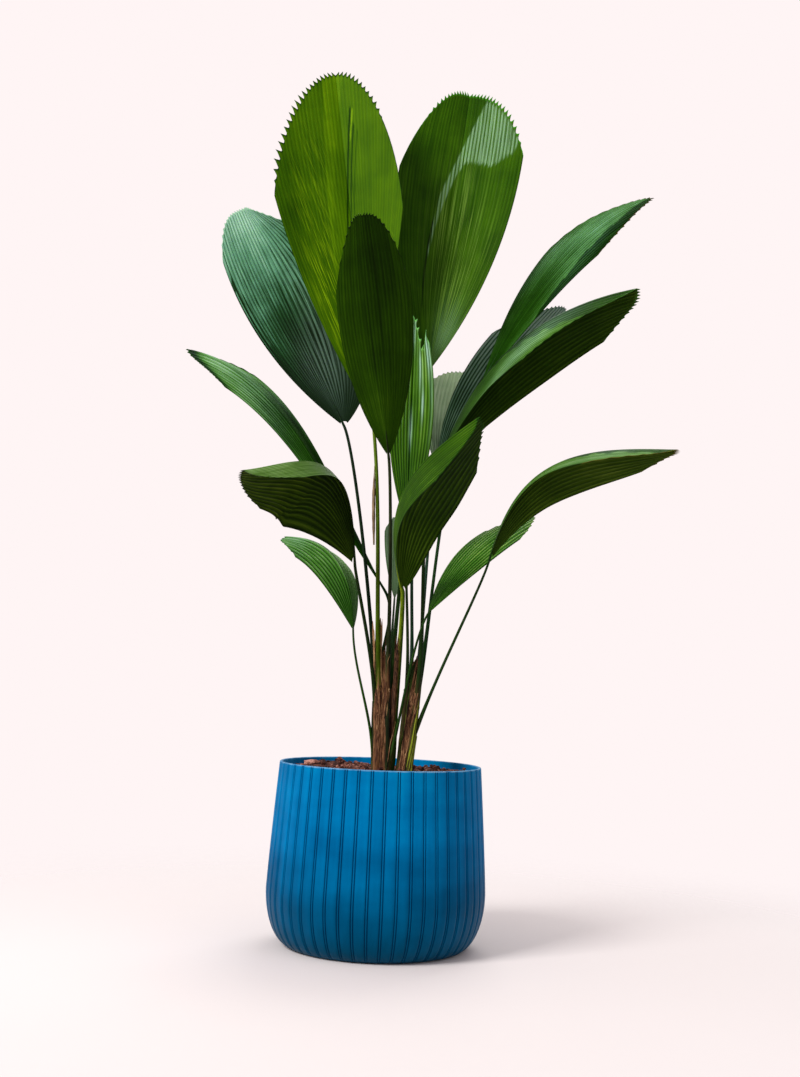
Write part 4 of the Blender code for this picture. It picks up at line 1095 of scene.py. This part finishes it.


# Green in streaks along the ribs: from deep to pale by noise and by patches of painted light and shade,
# painted shade as dark lines in the pleats' valleys, a painted sheen and worn scratches in places, coloured
# teeth, a darker margin, and a fibrous stalk with painted shade on one side
def leafMaterial(name, leaf):
    gloss, pleats = leaf["gloss"], leaf["pleats"]
    material, tree, shader, space = startMaterial(name, gloss, leaf["shine"], leaf["sheen"])
    uv = addNode(tree, "UVMap", uv_map="UVMap").outputs["UV"]
    veins = noiseAt(tree, uv, (pleats * 7.0, 6.0, 1.0))
    bands = noiseAt(tree, uv, (pleats * 0.9, 1.6, 1.0))
    cloud = noiseAt(tree, space, (22.0, 22.0, 22.0))
    fibres = noiseAt(tree, space, (700.0, 700.0, 30.0), 3.0, 0.6)
    ridge, tone = attributeOf(tree, "ridge"), attributeOf(tree, "tone")
    # Painted light and shade: the ramp's level is lighter on the pleats' ridges and darker in their valleys,
    # and the tone patches darken or lighten it
    levels = [(veins, leaf["streak"], 0.5), (bands, leaf["patchy"], 0.5), (cloud, 0.4, 0.5),
              (ridge, leaf["stripe"], 0.5), (tone, 0.5, 0.0)]
    # Painted sheen: the sheen colour laid on in streaks along veins and ridges where the sheen spots lie,
    # standing in for glints and reflections
    striped = stretch(tree, blendLevels(tree, [(veins, 1.6, 0.5), (ridge, 0.5, 0.5)]), 0.3, 0.75)
    wax = product(tree, attributeOf(tree, "wax"), striped, clamp=True)
    upper = mixColours(tree, wax, rampOf(tree, levels, leaf["upper"]), leaf["sheenColour"])
    if leaf["wornTurn"] is None:
        lines = noiseAt(tree, uv, (pleats * 3.0, 2.5, 1.0), 3.0, 0.6)
    else:
        slant = (0.0, math.radians(leaf["wornTurn"]), 0.0)
        slanted = addNode(tree, "Mapping", {"Vector": space, "Rotation": slant}).outputs[0]
        lines = noiseAt(tree, slanted, (620.0, 60.0, 16.0), 3.0, 0.6)
    worn = product(tree, attributeOf(tree, "worn"), stretch(tree, lines, 0.5, 0.62), clamp=True)
    upper = mixColours(tree, worn, upper, leaf["upper"][-1])
    # Each face takes its own ramp, and the face in shade has the darker one as painted shade
    green = mixColours(tree, attributeOf(tree, "under"), upper, rampOf(tree, levels, leaf["under"]))
    # Painted shade: the pleats' valleys darkened to the deepest upper colour
    green = mixColours(tree, stretch(tree, ridge, 0.0, 0.2, leaf["lines"], 0.0), green, leaf["upper"][0])
    margin = stretch(tree, attributeOf(tree, "edge"), 0.7, 1.0, 0.0, leaf["margin"])
    green = mixColours(tree, margin, green, leaf["under"][0])
    green = mixColours(tree, stretch(tree, attributeOf(tree, "rim"), 0.35, 0.9), green, leaf["toothTip"])
    stalkGreen = rampOf(tree, [(fibres, 1.0, 0.5), (cloud, 0.6, 0.5), (tone, 1.0, 0.0)], leaf["stalk"])
    dryBrown = rampOf(tree, [(fibres, 2.0, 0.5)], bark["colours"])
    dryShare = product(tree, attributeOf(tree, "dry"), leaf["dryness"])
    stalkColour = mixColours(tree, dryShare, stalkGreen, dryBrown)
    colour = mixColours(tree, attributeOf(tree, "stalk"), green, stalkColour)
    tree.links.new(stretch(tree, veins, 0.0, 1.0, gloss - 0.06, gloss + 0.16), shader.inputs["Roughness"])
    for key, value in (("Weight", 0.08), ("Radius", (0.4, 1.0, 0.1)), ("Scale", 0.0012)):
        shader.inputs["Subsurface " + key].default_value = value
    height = blendLevels(tree, [(veins, 1.0, 0.5), (fibres, 0.3, 0.5)])
    finishMaterial(tree, shader, colour, height, 0.3, 0.0005)
    return material


# Each leaf's blade and stalk as one piece
def makeFronds():
    for name, leaf in fronds.items():
        title = name.replace("frond", "leaf")
        part = joinParts([bladePart(leaf), stalkPart(leaf)])
        makePiece(title, part, leafMaterial(title, leaf), [name], 55)
        print(title, "triangles", 2 * sum(len(faces) for faces in part["faces"]))


# Fibrous sheaths round the feet of some stalks, which follow the stalk between two heights
def makeSheaths():
    parts = []
    draw = np.random.default_rng(61)
    for leaf in fronds.values():
        seed, tone = int(draw.integers(1, 900)), draw.uniform(0.2, 0.9)
        if leaf["sheath"]:
            low, high, torn, wide = leaf["sheath"]
            route = stalkRoute(leaf)[0]
            height = np.linspace(low, high, stalk["sheathRows"])
            route = np.stack([np.interp(height, route[:, 2], route[:, axis]) for axis in range(3)], -1)
            span = leaf["sheathSpan"] or (seed, seed + 1.75 * math.pi)
            tone = tone if leaf["sheathTone"] is None else leaf["sheathTone"]
            radius = 0.5 * leaf["petiole"] * wide + stalk["sheathGap"]
            parts.append(collarPart(route, radius, seed, tone, span, torn))
    makePiece("leaf_sheaths", joinParts(parts), barkMaterial(), (), 45)


# Collar: an open tube of two skins that widens upwards, with ends pulled up and down by waves
def collarPart(route, radius, seed, tone, span, torn):
    angle, step = np.linspace(*span, stalk["sheathSides"]), np.linspace(0.0, 1.0, len(route))[:, None]
    tangent, ring = routeRings(route, angle)
    torn = torn * rolling(angle[None, :] * 0.02, 0.0 * step, seed, 0.02) * (step ** 3 + (1.0 - step) ** 3)
    flare = radius * (1.0 + 0.25 * step ** 4 + 0.08 * np.sin(3 * angle + seed)[None, :])
    middle = route[:, None, :] + ring * flare[..., None] + tangent[:, None, :] * torn[..., None]
    values = {"tone": tone, "green": 0.0}
    uv = gridPairs(angle / fullTurn, step.ravel())
    return shellPart(middle, 0.5 * stalk["sheathThickness"] * ring, uv, values, flip=True)


# Dried spear: a thin rolled leaf bud, grooved along its length

spear = {
    "radius": 0.0026,
    "bow": 0.0008,
    "rows": 50,
    "sides": 28,
    "inset": 0.0005,
    "dark": (70, 50, 34),
    "light": (176, 148, 112),
}


# Radius from a narrow foot to a belly and a fine point, along a slightly bowed line that leans left in its
# node's box
def makeSpear():
    step = np.linspace(0.0, 1.0, spear["rows"])
    inset = np.array([spear["radius"], spear["radius"], spear["inset"]])
    low, high = (np.array(corner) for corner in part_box("dried_spear"))
    low, high = low + inset, high - inset
    foot, tip = np.array([*high[:2], low[2]]), np.array([*low[:2], high[2]])
    route = foot + (tip - foot) * step[:, None]
    route[:, 0] -= spear["bow"] * np.sin(math.pi * step)
    radius = spear["radius"] * (0.45 + 0.55 * np.sin(math.pi * np.minimum(step * 1.2, 0.5)))
    radius = radius * (1.0 - smoothStep(0.6, 1.0, step) * 0.85) * (1.0 + 0.06 * np.sin(40 * step))
    part = tubePart(route, radius, spear["sides"], 0.8, 0.12, 1.0)
    part["values"] = {"tone": np.full(len(part["points"]), 0.5)}
    material, tree, shader, space = startMaterial("drySpear", 0.85, 0.2)
    fibres = noiseAt(tree, space, (1200.0, 1200.0, 60.0), 3.0, 0.6)
    colour = mixColours(tree, stretch(tree, fibres, 0.35, 0.7), spear["dark"], spear["light"])
    finishMaterial(tree, shader, colour, fibres, 0.8, 0.0006)
    makePiece("rolled_dry_spear", part, material, ["dried_spear"], 40)


# Floor, light and camera

stageValues = {
    "floorRadius": 2.6,
    "fadeFrom": 0.2,
    "fadeTo": 1.1,
    "floorColour": (236, 229, 229),
    "backdrop": (255, 245, 245),
    "ambientAbove": 0.55,
    "ambientBelow": 0.16,
}
cameraValues = {
    "place": (0.0146, -1.90, 0.366),
    "tiltUp": 5.6,
    "roll": 2.2,
    "focalPixels": 1377,
    "imageWidth": 800,
    "sensorWidth": 36,
}
lights = {
    "keyLight": {"place": (-1.9, -1.8, 2.1), "aim": (0, 0, 0.6), "size": 1.1, "power": 88,
                 "tint": (1.0, 0.98, 0.95)},
    "fillLight": {"place": (2.0, -1.5, 1.0), "aim": (0, 0, 0.5), "size": 1.8, "power": 5,
                  "tint": (0.95, 0.97, 1.0)},
    "backLight": {"place": (0.5, 1.7, 2.3), "aim": (0, 0, 0.8), "size": 1.6, "power": 26,
                  "tint": (1.0, 1.0, 0.98)},
}


# A pale disc that fades out with distance, so that no horizon shows
def makeFloor():
    bpy.ops.mesh.primitive_circle_add(vertices=96, radius=stageValues["floorRadius"], fill_type="NGON")
    floor = bpy.context.object
    floor.name = "paleFloor"
    material, tree, shader, space = startMaterial("paleFloor", 0.9, 0.1)
    shader.inputs["Base Color"].default_value = seen(stageValues["floorColour"])
    distance = addNode(tree, "VectorMath", {0: space}, operation="LENGTH").outputs["Value"]
    fade = addNode(tree, "MapRange", {"Value": distance, "From Min": stageValues["fadeFrom"],
                                      "From Max": stageValues["fadeTo"]}, interpolation_type="SMOOTHSTEP")
    clear = addNode(tree, "BsdfTransparent")
    both = addNode(tree, "MixShader", {0: fade.outputs[0], 1: shader.outputs[0], 2: clear.outputs[0]})
    tree.links.new(both.outputs[0], tree.nodes["Material Output"].inputs["Surface"])
    floor.data.materials.append(material)


# The world looks pale to the camera, and lights the plant more from above than from below
def makeWorld():
    world = bpy.data.worlds.new("paleRoom")
    world.use_nodes = True
    bpy.context.scene.world = world
    tree = world.node_tree
    background = tree.nodes["Background"]
    background.inputs["Color"].default_value = seen(stageValues["backdrop"])
    direction = addNode(tree, "TexCoord").outputs["Generated"]
    rise = addNode(tree, "SeparateXYZ", {0: direction}).outputs["Z"]
    strength = stretch(tree, rise, -0.4, 0.4, stageValues["ambientBelow"], stageValues["ambientAbove"])
    tree.links.new(strength, background.inputs["Strength"])
    shown = addNode(tree, "Background", {"Color": seen(stageValues["backdrop"]), "Strength": 1.0})
    seenByCamera = addNode(tree, "LightPath").outputs["Is Camera Ray"]
    both = addNode(tree, "MixShader", {0: seenByCamera, 1: background.outputs[0], 2: shown.outputs[0]})
    tree.links.new(both.outputs[0], tree.nodes["World Output"].inputs["Surface"])


# Square lamps that each face their aim
def makeLights():
    for name, values in lights.items():
        lamp = bpy.data.lights.new(name, "AREA")
        lamp.size, lamp.energy, lamp.color = values["size"], values["power"], values["tint"]
        holder = bpy.data.objects.new(name, lamp)
        bpy.context.scene.collection.objects.link(holder)
        holder.location = values["place"]
        direction = Vector(values["aim"]) - Vector(values["place"])
        holder.rotation_euler = direction.to_track_quat("-Z", "Y").to_euler()


# The camera of the photograph: its lens is the sensor's width times focal pixels over the image's width
def makeCamera():
    lens = bpy.data.cameras.new("photoCamera")
    lens.sensor_fit = "HORIZONTAL"
    lens.sensor_width = cameraValues["sensorWidth"]
    lens.lens = cameraValues["sensorWidth"] * cameraValues["focalPixels"] / cameraValues["imageWidth"]
    camera = bpy.data.objects.new("photoCamera", lens)
    bpy.context.scene.collection.objects.link(camera)
    tilt = Matrix.Rotation(math.radians(90 + cameraValues["tiltUp"]), 4, "X")
    roll = Matrix.Rotation(math.radians(cameraValues["roll"]), 4, "Z")
    camera.matrix_world = Matrix.Translation(cameraValues["place"]) @ tilt @ roll
    bpy.context.scene.camera = camera
    bpy.context.scene.view_settings.view_transform = "Standard"


makePlanter()
print("planter made")
makeSoil()
print("soil made")
makeStems()
makeSheaths()
print("stems made")
makeFronds()
makeSpear()
print("fronds and spear made")
makeFloor()
makeWorld()
makeLights()
makeCamera()
print("floor, light and camera made")
